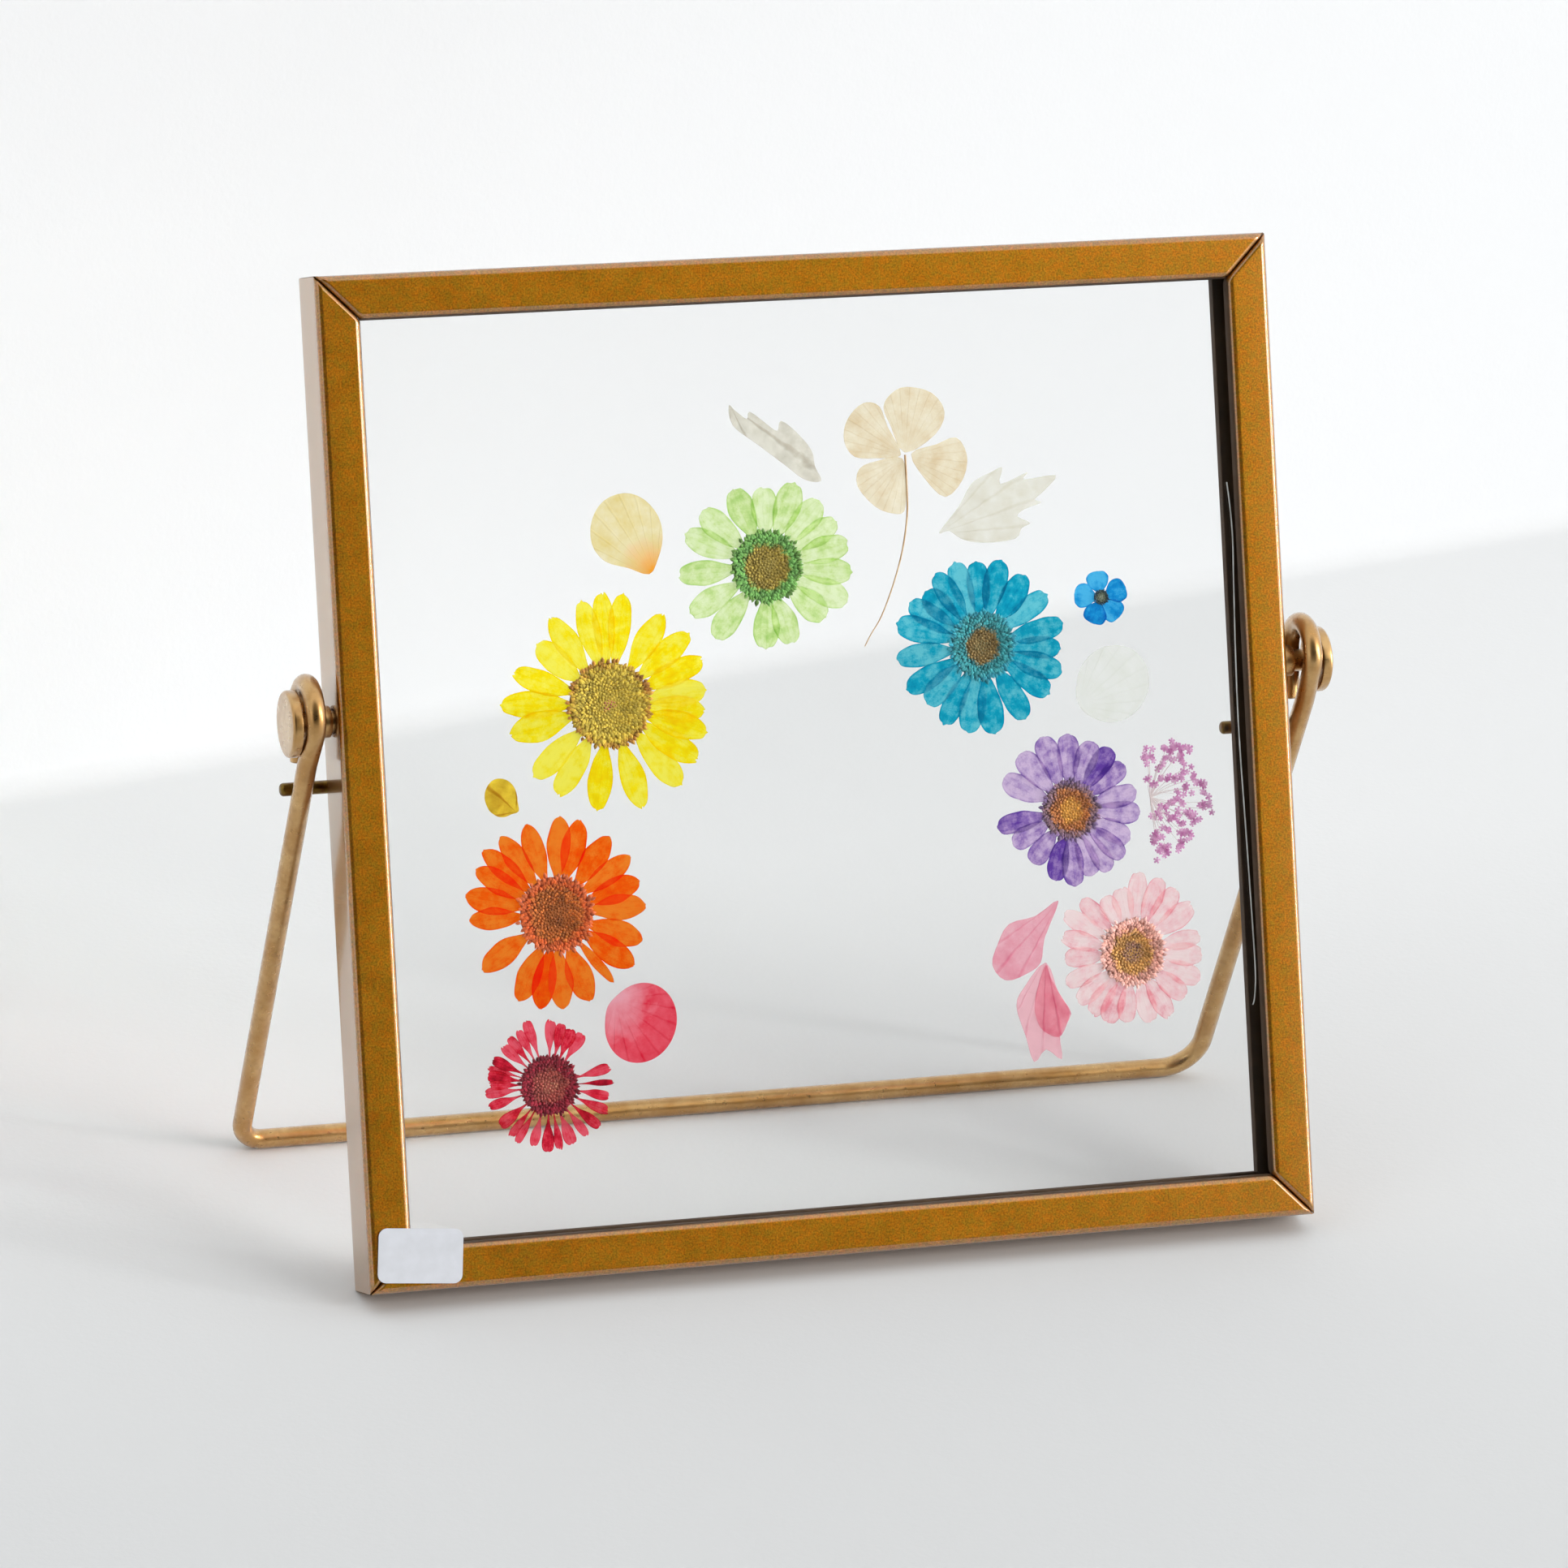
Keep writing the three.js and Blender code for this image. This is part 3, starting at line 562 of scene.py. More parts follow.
def rivet(name, side, eye):
    """Domed flat head outside the wire's eye, shank, and a flattened tail inside the bar."""
    head_start = eye - SIDE / 2 + WIRE_R + GAP
    head_top = head_start + HEAD_THICK
    put_down()
    bpy.ops.mesh.primitive_cylinder_add(vertices=48, radius=HEAD_R, depth=HEAD_THICK,
                                        location=(0, 0, head_start + HEAD_THICK / 2))
    piece = open_new(name)
    pick(piece, "FACE", lambda middle, normal: normal.z < -0.9)
    bpy.ops.mesh.inset(thickness=HEAD_R - SHANK_R)
    pull((0, 0, -head_start - SHANK_IN))
    bpy.ops.mesh.extrude_region_shrink_fatten(TRANSFORM_OT_shrink_fatten={"value": 0})
    resize((TAIL_R / SHANK_R, TAIL_R / SHANK_R, 1))
    pull((0, 0, -TAIL_THICK))
    ease(piece, lambda middle, way: middle.z > head_top - 0.05 * MM, 0.5 * MM, 4)
    pick(piece, "FACE", lambda middle, normal: normal.z > 0.98 and middle.xy.length < 1 * MM)
    bpy.ops.mesh.inset(thickness=1.2 * MM)
    bpy.ops.transform.translate(value=(0, 0, 0.08 * MM))

    def under_rim(middle, way):
        return abs(middle.z - head_start) < 0.05 * MM and middle.xy.length > 4 * MM
    ease(piece, under_rim, 0.25 * MM)
    return set_on_axis(flatten_shading(close_up(piece, 30)), side)


def spacer(name, side, eye):
    """Short tube on the shank, its rims eased."""
    room = eye - SIDE / 2 - WIRE_R
    put_down()
    bpy.ops.mesh.primitive_cylinder_add(vertices=40, radius=SPACER_R, depth=room - 2 * GAP,
                                        location=(0, 0, room / 2))
    piece = open_new(name)
    for way in (-1, 1):
        pick(piece, "FACE", lambda middle, normal: normal.z * way > 0.9)
        bpy.ops.mesh.inset(thickness=SPACER_WALL)
        if way < 0:
            bpy.ops.mesh.delete(type="FACE")
    pick(piece, "FACE", lambda middle, normal: normal.z > 0.9 and middle.xy.length < 0.5 * MM)
    bpy.ops.mesh.delete(type="FACE")
    bpy.ops.mesh.select_mode(type="EDGE")
    bpy.ops.mesh.select_all(action="DESELECT")
    bpy.ops.mesh.select_non_manifold()
    bpy.ops.mesh.bridge_edge_loops()

    def rim(middle, way):
        return abs(way.z) < 0.1 and middle.xy.length > SPACER_R - 0.1 * MM
    ease(piece, rim, 0.15 * MM)
    return set_on_axis(flatten_shading(close_up(piece, 30)), side)


def stop_pin(name, side):
    """Short pin across the back of a side bar, its ends rounded off."""
    inner, outer = 67.3 * MM, 81.7 * MM
    height, behind = 74.79 * MM, 11.15 * MM
    put_down()
    bpy.ops.mesh.primitive_cylinder_add(vertices=24, radius=1 * MM, depth=outer - inner,
                                        location=(side * (inner + outer) / 2, behind, height),
                                        rotation=(0, math.pi / 2, 0))
    pin = open_new(name)
    ease(pin, lambda middle, way: abs(way.x) < 0.1, 0.55 * MM, 4)
    return flatten_shading(close_up(pin, 30))


def dark_pin_material():
    r = Recipe("dark_pin_metal")
    here = r.place()
    patch = r.noise(here, 0.7, detail=4)
    tarnish = r.mix(r.ramp(patch, 0.4, 0.65), tint(96, 62, 30), tint(132, 108, 44))
    metal = r.surface(Base_Color=tarnish, Metallic=1.0, Roughness=r.ramp(patch, 0.3, 0.7, 0.3, 0.5),
                      Normal=r.bump(r.noise(here, 3.0), 0.02 * MM, 0.6))
    return r.finish(pale_at_the_edge(r, metal, 0.3))


def build_stand(metal):
    dark = dark_pin_material()
    stand_up(wire_stand(), "stand", metal, "wire_stand")
    for word, side, eye in (("left", -1, LEFT_EYE), ("right", 1, RIGHT_EYE)):
        turned = rivet(word + "_rivet_turned", side, eye)
        stand_up(turned, "frame", metal, word + "_rivet")
        tube = spacer(word + "_spacer_tube", side, eye)
        stand_up(tube, "frame", metal, word + "_spacer")
        pin = stop_pin(word + "_stop_pin_rounded", side)
        stand_up(pin, "frame", dark, word + "_stop_pin")


# ---- paper label, and a pale thread that paints a highlight at the glass edge ----

def paper_label():
    width, height, thick = 13 * MM, 8.1 * MM, 0.14 * MM
    middle = (-67.3 * MM, -0.225 * MM, 5.3 * MM)
    put_down()
    bpy.ops.mesh.primitive_cube_add(size=1, location=(0, 0, 0), scale=(width, thick, height))
    label = open_new("paper_label_sheet")
    ease(label, lambda middle, way: abs(way.y) > 0.9, 1.3 * MM, 6)
    ease(label, lambda middle, way: abs(way.y) < 0.1, 0.04 * MM)
    flatten_shading(close_up(label, 40))
    turned = Matrix.Rotation(math.radians(4.7), 4, "Y")
    label.data.transform(Matrix.Translation(middle) @ turned)
    return label


def drawn_thread(name, points, thickness, sides, taper=1.0):
    """A thread pulled through points on the frame; its tip is the given part of its starting thickness.
    """
    put_down()
    first, second = Vector(points[0]), Vector(points[1])
    way = (second - first).to_track_quat("Z", "Y").to_euler()
    bpy.ops.mesh.primitive_circle_add(vertices=sides, radius=thickness, fill_type="NGON",
                                      location=first, rotation=way)
    thread = open_new(name)
    pick_all()
    here = first
    shrink = taper ** (1 / (len(points) - 1))
    for point in points[1:]:
        pull(Vector(point) - here)
        here = Vector(point)
        if taper != 1.0:
            resize((shrink, shrink, shrink), here)
    return close_up(thread, 70)


def smooth_line(points, steps):
    """More points on a soft curve through the given ones."""
    line = []
    last = len(points) - 1
    for i in range(last):
        a, b, c, d = (Vector(points[max(0, min(last, i + k))]) for k in (-1, 0, 1, 2))
        for step in range(steps):
            t = step / steps
            line.append(0.5 * ((2 * b) + (c - a) * t + (2 * a - 5 * b + 4 * c - d) * t * t
                               + (3 * b - a - 3 * c + d) * t ** 3))
    line.append(Vector(points[-1]))
    return line


# Points of the pale thread that paints the bright refraction line at the glass edge, in millimetres
# across and up.
HIGHLIGHT_THREAD_LINE = [(67.3, 112.4), (67.6, 109), (67.8, 104), (67.6, 97), (67.3, 86), (67.2, 74),
         (67.5, 60), (67.8, 46), (67.9, 38), (67.6, 34), (67.2, 32.6)]


# The pale thread lies along the right bar's inner edge, where the glass edge shows a bright refraction
# line: it is a painted highlight.
def stray_fibre():
    on_glass = SLOT_FRONT - 0.12 * MM
    points = [(x * MM, on_glass, z * MM) for x, z in HIGHLIGHT_THREAD_LINE]
    return drawn_thread("glass_edge_highlight_thread", smooth_line(points, 5), 0.11 * MM, 6)


# ---- daisies: place, reach of the seed head, and the direction and length of each petal,
# in degrees and millimetres; some petals have a width of their own, and some a tone ----

DAISIES = {
    "red": ((-44.7, 28.5), 4.4, [
        (12, 10, 1.5), (52, 9.6, 1.2), (64, 9.3, 1.3), (75, 9.7), (85, 10), (107, 10.7), (117, 9.9),
        (127, 9.8, 1.2), (137, 9.5, 1.2), (152, 10, 1.2), (160, 10), (167, 9.9, 1.2), (175, 9.5, 1.2),
        (183, 10.2, 1.2), (195, 10, 1.1), (214, 9.9, 1.2), (228, 9.7, 1.1), (236, 10.1, 1.2),
        (251, 9.5, 1.1), (266, 10.2, 1.2), (277, 9.9), (289, 9.8, 1.2), (305, 9.9), (318, 10.4, 1.1),
        (333, 10.2), (346, 9.9, 1.4), (359, 10.3, 0.9)]),
    "orange": ((-42.2, 53.9), 5.7, [
        (2, 14.1), (17, 14.2), (33, 14.6), (51, 14.4), (71, 14.6), (84, 14.8),
        (106, 14.4), (123, 14.6), (136, 14.9), (148, 14.4), (165, 14.4), (180, 13.6),
        (212, 14.2), (243, 14.3), (257, 14.5), (271, 14.4), (289, 14.2), (308, 13.9, 0.4),
        (324, 14.6), (340, 14.4)]),
    "yellow": ((-32.1, 84.5), 6.4, [
        (5, 15.5), (21, 16.4), (37, 16.8), (55, 16.1), (79, 17), (91, 17), (103, 16.5),
        (122, 16.1), (138, 14.7), (159, 16), (177, 17.3), (193, 16.3), (219, 16.3),
        (236, 15.9), (260, 16.3), (285, 16.6), (310, 16.9), (326, 16.4), (341, 16.2),
        (353, 15.3)]),
    "green": ((-6.4, 103.6), 5.4, [
        (12, 13.6), (28, 13.5), (46, 13.3), (67, 13.6), (88, 12.1), (111, 13),
        (138, 13.4), (156, 13.8), (182, 14), (207, 14.3), (230, 13.6), (267, 12.5),
        (286, 12.4), (318, 12.5), (335, 14.2), (353, 13.8)]),
    "blue": ((27.2, 89.8), 5.1, [
        (11, 13.6), (33, 13.3), (53, 12.9), (74, 13.5), (90, 12.9), (106, 13.5),
        (121, 13.4), (135, 12.3), (148, 13.4), (163, 14.3), (185, 13.8), (206, 13.9),
        (221, 12.6), (240, 13.5), (258, 13.5), (275, 13.7), (300, 13.4), (323, 13.3),
        (339, 13.6), (355, 13)]),
    "purple": ((40, 64.1), 4.5, [
        (11, 11.2), (34, 11.4), (51, 11.7, 1, 1.3), (68, 11.2), (88, 11.7), (109, 12.2),
        (131, 12.1), (153, 11.9), (189, 12.1, 1, 0.9), (206, 10.8), (230, 10.2), (254, 11.2, 1, 1.3),
        (270, 11.8), (288, 10.9), (302, 11.6), (317, 11.5), (332, 11), (354, 11.6)]),
    "pink": ((48.9, 41.8), 5.1, [
        (9, 11.5), (32, 12.4), (50, 12.2), (65, 12.4), (81, 12.6), (98, 10.2),
        (115, 9.9), (132, 11.7), (148, 12.9), (164, 12), (181, 11.1), (200, 11.9),
        (217, 11.9), (232, 11.6), (246, 11.6), (261, 10.9), (283, 11.4), (299, 11.9),
        (318, 11.2), (336, 12.2), (354, 11.7)]),
}

# How wide a petal is along its length, as (part of its length, part of its width).
OVAL = [(0, 0.2), (0.13, 0.32), (0.27, 0.68), (0.42, 0.92), (0.57, 1.0), (0.71, 0.94),
        (0.84, 0.74), (0.94, 0.46), (1, 0.16)]
BLUNT = [(0, 0.24), (0.12, 0.36), (0.26, 0.68), (0.42, 0.92), (0.57, 1.0), (0.72, 0.97),
         (0.85, 0.82), (0.95, 0.56), (1, 0.24)]
FRINGE = [(0, 0.12), (0.16, 0.13), (0.3, 0.2), (0.44, 0.52), (0.58, 0.84), (0.72, 1.0),
          (0.85, 0.92), (0.95, 0.62), (1, 0.22)]
ROUND = [(0, 0.22), (0.12, 0.4), (0.27, 0.74), (0.42, 0.94), (0.57, 1.0), (0.7, 1.0),
         (0.83, 0.9), (0.94, 0.64), (1, 0.24)]

# form, widest, how deep the tips are notched, how much petals differ, deepest tone
CUTS = {
    "red": (FRINGE, 1.5, 0.1, 0.25, 1.0),
    "orange": (OVAL, 3.75, 0.03, 0.1, 1.0),
    "yellow": (OVAL, 4.1, 0.06, 0.12, 0.9),
    "green": (BLUNT, 4.0, 0.06, 0.1, 0.7),
    "blue": (ROUND, 3.7, 0.03, 0.1, 0.8),
    "purple": (ROUND, 3.5, 0.03, 0.1, 0.6),
    "pink": (BLUNT, 3.2, 0.06, 0.12, 0.6),
}
PATTERNS = 4

# how far a petal's tip lies from its root through the sheet, in millimetres, by turns
TIP_LEVELS = (-0.34, -0.05, 0.2)

RIPPLE_SIZE = 2.2 * MM

# how uneven a seed head's edge is, as a part of its reach, and the turn from seed to seed
RAGGED = 0.05
GOLDEN_TURN = 2.39996


def petal_pattern(form, notch, chance):
    """A flat petal one unit long and wide: base at the origin, tip at +Z, facing -Y."""
    columns, rows = 6, len(form) - 1
    put_down()
    bpy.ops.mesh.primitive_grid_add(x_subdivisions=columns, y_subdivisions=rows, size=1,
                                    location=(0, 0, 0.5), rotation=(math.pi / 2, 0, 0))
    petal = open_new("petal_pattern")
    for i, (along, wide) in enumerate(form):
        height = i / rows
        pick(petal, "VERT", lambda co: abs(co.z - height) < 0.2 / rows)
        wide = wide * (1 + chance.uniform(-0.07, 0.07))
        drift = chance.uniform(-0.03, 0.03)
        resize((wide, 1, 1), (0, 0, height))
        bpy.ops.transform.translate(value=(drift, 0, (along - height) * 0.999))
    wide_end = form[-1][1]
    for column in range(columns + 1):
        place = (column / columns - 0.5) * wide_end
        pick(petal, "VERT", lambda co: co.z > 0.985 and abs(co.x - place) < 0.12 * wide_end)
        drop = -notch * chance.random() - 0.12 * abs(2 * column / columns - 1) ** 2 * wide_end
        bpy.ops.transform.translate(value=(0, 0, drop))
    bpy.ops.object.mode_set(mode="OBJECT")
    return petal


def daisy_petals(name, at, centre, petals, cut):
    """Petals spread round the flower, each a little different, pressed over one another."""
    form, widest, notch, spread, deepest = cut
    chance = random.Random(name)
    patterns = [petal_pattern(form, notch, chance) for _ in range(PATTERNS)]
    base = centre * 0.82
    middle = Matrix.Translation(pressed_at(*at, 0.16 * MM))
    out = Matrix.Translation((0, 0, base * MM))
    parts = []
    for i, (angle, length, *own) in enumerate(petals):
        wide = widest * (1 + chance.uniform(-spread, spread)) * (own[0] if own else 1)
        tilt = Matrix.Rotation(-math.atan2(TIP_LEVELS[i * 2 % 3], length - base), 4, "X")
        flip = chance.choice((-1, 1))
        shape = Matrix.Diagonal((flip * wide * MM, MM, (length - base) * MM, 1))
        turn = Matrix.Rotation(math.radians(90 - angle), 4, "Y")
        roll = Matrix.Rotation(math.radians(chance.uniform(-2.5, 2.5)), 4, "Z")
        laid = middle @ turn @ out @ tilt @ roll @ shape
        part = copy_of(patterns[i % PATTERNS], name + "_petal", laid)
        tone = chance.random() * deepest
        paint(part, "tone", own[1] if len(own) > 1 else tone)
        parts.append(part)
    flower = join(parts, name)
    for pattern in patterns:
        throw_away(pattern)
    bpy.ops.object.mode_set(mode="EDIT")
    pick_all()
    face_outwards()
    pressed(flower)
    return flower


def pressed(piece, crumple=0.12 * MM):
    """Softens the outline, crumples the sheet a little and gives it its thickness."""
    put_down()
    piece.select_set(True)
    bpy.context.view_layer.objects.active = piece
    apply_modifier(piece, "SUBSURF", levels=1, render_levels=1)
    ripple = bpy.data.textures.new(piece.name + "_ripple", "CLOUDS")
    ripple.noise_scale = RIPPLE_SIZE
    apply_modifier(piece, "DISPLACE", texture=ripple, strength=crumple, mid_level=0.5,
                   direction="Y", texture_coords="LOCAL")
    apply_modifier(piece, "SOLIDIFY", thickness=PETAL_THICK, offset=0)
    smooth(60)


def seed_head(name, at, reach, bead=0.3, crowd=0.48):
    """A low cushion covered with small dry florets set in a spiral."""
    chance = random.Random(name)
    put_down()
    bpy.ops.mesh.primitive_cylinder_add(vertices=36, radius=reach * 0.97 * MM, depth=0.4 * MM,
                                        location=(0, 0, 0), rotation=(math.pi / 2, 0, 0))
    cushion = open_new(name)
    pick(cushion, "FACE", lambda middle, normal: abs(normal.y) > 0.9)
    bpy.ops.mesh.inset(thickness=reach * 0.3 * MM)
    bpy.ops.mesh.inset(thickness=reach * 0.35 * MM)
    pick_all()
    bpy.ops.transform.vertex_random(offset=reach * RAGGED * 0.6 * MM, seed=len(name))
    resize((1, 0.8, 1))
    bpy.ops.object.mode_set(mode="OBJECT")
    # The cushion takes a low tone, so that it shows dark between the florets: painted shade.
    paint(cushion, "tone", 0.2)
    paint(cushion, "reach", lambda co: min(1.0, co.xz.length / (reach * MM)))

    put_down()
    bpy.ops.mesh.primitive_ico_sphere_add(subdivisions=1, radius=0.5)
    seed = open_new("seed_pattern")
    pick(seed, "VERT", lambda co: co.z > 0.3)
    resize((0.6, 0.6, 1.5))
    bpy.ops.object.mode_set(mode="OBJECT")
    parts = [cushion]
    count = int((reach / crowd) ** 2 * 3.4)
    for i in range(count):
        part = math.sqrt((i + 0.5) / count)
        angle = i * GOLDEN_TURN
        far = reach * part * (1 + chance.uniform(-1, 1) * RAGGED * (0.4 + part))
        size = bead * 2 * (0.62 + 0.5 * part) * chance.uniform(0.8, 1.2) * MM
        spot = Matrix.Translation((far * math.cos(angle) * MM, -0.2 * MM, far * math.sin(angle) * MM))
        outward = Matrix.Rotation(-angle + math.pi / 2, 4, "Y")
        lean_out = Matrix.Rotation(math.radians(90 - 75 * part + chance.uniform(-14, 14)), 4, "X")
        shape = Matrix.Diagonal((size, size * 0.8, size * (0.7 + 0.5 * part), 1))
        floret = copy_of(seed, "floret", spot @ outward @ lean_out @ shape)
        paint(floret, "tone", chance.random())
        paint(floret, "reach", min(1.0, far / reach))
        parts.append(floret)
    head = join(parts, name)
    throw_away(seed)
    smooth(60)
    for point in head.data.vertices:
        point.co.y = max(-0.5 * MM, min(0.35 * MM, point.co.y))
    head.data.transform(Matrix.Translation(pressed_at(*at)))
    return head


# light, middle, deep, how strong the ribs are, glow and sheer
PETAL_COLOURS = {
    "red": (tint(246, 98, 118), tint(230, 34, 62), tint(150, 8, 32), 0.4, 0.4, 0.45),
    "orange": (tint(255, 136, 38), tint(255, 98, 3), tint(255, 68, 0), 0.35, 0.4, 0.78),
    "yellow": (tint(255, 246, 90), tint(255, 236, 12), tint(252, 212, 0), 0.35, 0.4, 0.6),
    "green": (tint(234, 248, 202), tint(208, 234, 156), tint(166, 212, 108), 0.35, 0.4, 0.6),
    "blue": (tint(104, 204, 220), tint(16, 170, 200), tint(0, 138, 178), 0.25, 0.4, 0.55),
    "purple": (tint(218, 194, 228), tint(166, 134, 198), tint(102, 64, 166), 0.3, 0.4, 0.6),
    "pink": (tint(255, 232, 232), tint(254, 204, 210), tint(242, 156, 172), 0.3, 0.4, 0.6),
}

# heart, disc, ring, rim, how far out the disc reaches, and the heart
SEED_COLOURS = {
    "red": (tint(206, 136, 108), tint(176, 84, 74), tint(148, 28, 48), tint(112, 14, 34), 0.6, 0.3),
    "orange": (tint(166, 92, 36), tint(196, 110, 44), tint(206, 92, 36), tint(216, 110, 62), 0.72, 0.4),
    "yellow": (tint(196, 116, 96), tint(214, 188, 74), tint(206, 172, 58), tint(178, 122, 52), 0.84,
               0.15),
    "green": (tint(164, 146, 74), tint(176, 154, 70), tint(118, 174, 92), tint(112, 154, 76), 0.64,
              0.3),
    "blue": (tint(140, 128, 84), tint(150, 124, 74), tint(62, 156, 162), tint(46, 150, 172), 0.52, 0.3),
    "purple": (tint(226, 166, 72), tint(186, 118, 66), tint(136, 104, 112), tint(122, 98, 140), 0.72,
               0.5),
    "pink": (tint(164, 122, 106), tint(212, 160, 90), tint(226, 166, 150), tint(240, 190, 182), 0.64,
             0.35),
}


def build_daisies():
    for colour, (at, centre, petals) in DAISIES.items():
        dyed = petal_material(colour + "_daisy_petal", *PETAL_COLOURS[colour])
        flower = daisy_petals(colour + "_daisy_spread", at, centre, petals, CUTS[colour])
        stand_up(flower, "frame", dyed, colour + "_daisy_petals")
        dry = seed_material(colour + "_daisy_seeds", *SEED_COLOURS[colour])
        head = seed_head(colour + "_daisy_seed_head", at, centre)
        stand_up(head, "frame", dry, colour + "_daisy_centre")


def build_forget_me_not():
    at = (46.8, 96.0)
    petals = [(19, 4.3), (97, 4.1), (172, 4.4), (247, 4.3), (313, 4.4)]
    dyed = petal_material("forget_me_not_petal", tint(76, 188, 240), tint(20, 152, 222),
                          tint(4, 112, 192), 0.3, 0.4, 0.5)
    flower = daisy_petals("forget_me_not_spread", at, 0.9, petals, (ROUND, 3.6, 0.02, 0.05, 1.0))
    stand_up(flower, "frame", dyed, "forget_me_not_petals")
    eye = seed_material("forget_me_not_eye", tint(176, 186, 166), tint(112, 124, 104),
                        tint(56, 76, 78), tint(30, 92, 130), 0.6, 0.3)
    head = seed_head("forget_me_not_heart", at, 1.15, bead=0.14, crowd=0.3)
    stand_up(head, "frame", eye, "forget_me_not_centre")


# ---- loose petals and leaves: outlines across and up the frame, in millimetres ----

def ring_points(at, half, turn, bumps=()):
    """Points round an ellipse; a bump is an angle and how far the point there moves."""
    points = []
    count = 16
    t = math.radians(turn)
    for i in range(count):
        angle = 2 * math.pi * i / count
        x, y = half[0] * math.cos(angle), half[1] * math.sin(angle)
        px, py = x * math.cos(t) - y * math.sin(t), x * math.sin(t) + y * math.cos(t)
        facing = math.degrees(math.atan2(py, px)) % 360
        grow = 1.0
        for where, amount in bumps:
            near = abs((facing - where + 180) % 360 - 180)
            grow += amount * math.exp(-(near / 14) ** 2)
        points.append((at[0] + px * grow, at[1] + py * grow))
    return points


OUTLINES = {
    "red_round_petal": ring_points((-29.9, 36.8), (6.1, 5.5), 60, [(150, 0.05)]),
    "cream_round_petal": ring_points((48, 82.8), (6.1, 5.7), 40, [(208, 0.08)]),
    "yellow_bud": ring_points((-49.7, 71.7), (2.9, 2.5), 100, [(320, 0.25)]),
    "pale_yellow_petal": [
        (-24.8, 103.5), (-28, 104.6), (-31.6, 105.8), (-33.5, 108.5), (-33.3, 112),
        (-31.3, 114.8), (-28, 115.8), (-25, 114.7), (-22.9, 112), (-22.4, 108.8), (-23.3, 105.8)],
    "cream_folded_leaf": [
        (-10.9, 128), (-10.5, 125), (-6.3, 121.6), (-2.9, 118.9), (0.4, 116.3),
        (3, 116), (2.1, 118.2), (1.7, 120.7), (-0.5, 123.4), (-2.8, 125.3), (-3.5, 123.8),
        (-5.2, 125), (-7.7, 126.9), (-8.2, 125.8), (-10, 127.2)],
    "cream_lobed_leaf": [
        (21.3, 107.2), (24.7, 111), (27, 114.4), (30.2, 115.9), (32, 116.5),
        (31.5, 114), (36, 115.6), (35.3, 114.5), (40.5, 114.9), (38.7, 112.8), (36.9, 111.4),
        (38, 110.9), (35.2, 110), (34, 109), (36, 107.9), (34.6, 107.2), (33.4, 105.6),
        (28.3, 105.3), (25, 106), (22.9, 107.4)],
    "clover_leaflet_left": [
        (15.9, 119.2), (14, 123.5), (12.9, 126.6), (10.9, 127.4), (8.9, 126.4),
        (7.3, 124.2), (7, 121.6), (8.5, 119.3), (12, 118.9)],
    "clover_leaflet_top": [
        (16.5, 119.5), (14.5, 123.6), (13.5, 126.6), (15, 128.6), (17.4, 129.4),
        (21.3, 128.3), (23.2, 125.3), (21.5, 122)],
    "clover_leaflet_right": [
        (17.5, 119.3), (21.6, 120.5), (24.8, 121.4), (26.4, 118.7), (25.6, 115.1),
        (22.6, 112.5), (19.6, 115.3)],
    "clover_leaflet_bottom": [
        (16.1, 118.7), (12, 118.5), (9.2, 117.5), (8.7, 114.9), (11.3, 111.7),
        (14, 110.5), (15.9, 110.7), (16.4, 114)],
    "pink_upper_petal": [
        (37.4, 50.5), (33.5, 48.4), (29.2, 47.5), (27.2, 44.5), (26.2, 41.4), (28.2, 39),
        (31.5, 39.7), (34, 41.3), (34.8, 45)],
    "pink_lower_petal": [
        (34.8, 41.3), (31.1, 37.7), (29.7, 35), (30.9, 30.5), (32.1, 26.3), (34.1, 28.1),
        (36.6, 26.4), (36.5, 30.3), (38.5, 33.2), (36.6, 36.5)],
}
PINK_FOLD = [(34.7, 40.9), (33.3, 37.6), (32.6, 34.6), (33.2, 31.8), (34.9, 30.2), (36.6, 30),
             (38, 32.6), (37.9, 34.2), (36.4, 36.9), (35.3, 39.2)]


def cut_sheet(name, outline, crumple):
    """A disc pulled out to the outline, cut into small faces, softened and pressed flat."""
    put_down()
    loop = [(x * MM, 0, z * MM) for x, z in outline]
    fine = smooth_line(loop[-1:] + loop + loop[:2], 3)[3:-4]
    area = sum(a[0] * b[2] - b[0] * a[2] for a, b in zip(fine, fine[1:] + fine[:1]))
    if area < 0:
        fine.reverse()
    bpy.ops.mesh.primitive_circle_add(vertices=len(fine), radius=1, fill_type="NGON")
    sheet = open_new(name)
    bpy.ops.object.mode_set(mode="OBJECT")
    for point, spot in zip(sheet.data.vertices, fine):
        point.co = spot
    bpy.ops.object.mode_set(mode="EDIT")
    pick_all()
    bpy.ops.mesh.quads_convert_to_tris(ngon_method="BEAUTY")
    bpy.ops.mesh.subdivide(number_cuts=3)
    pick_all()
    face_outwards()
    pressed(sheet, crumple)
    sheet.data.transform(Matrix.Translation((0, BETWEEN_PANES, 0)))
    return sheet


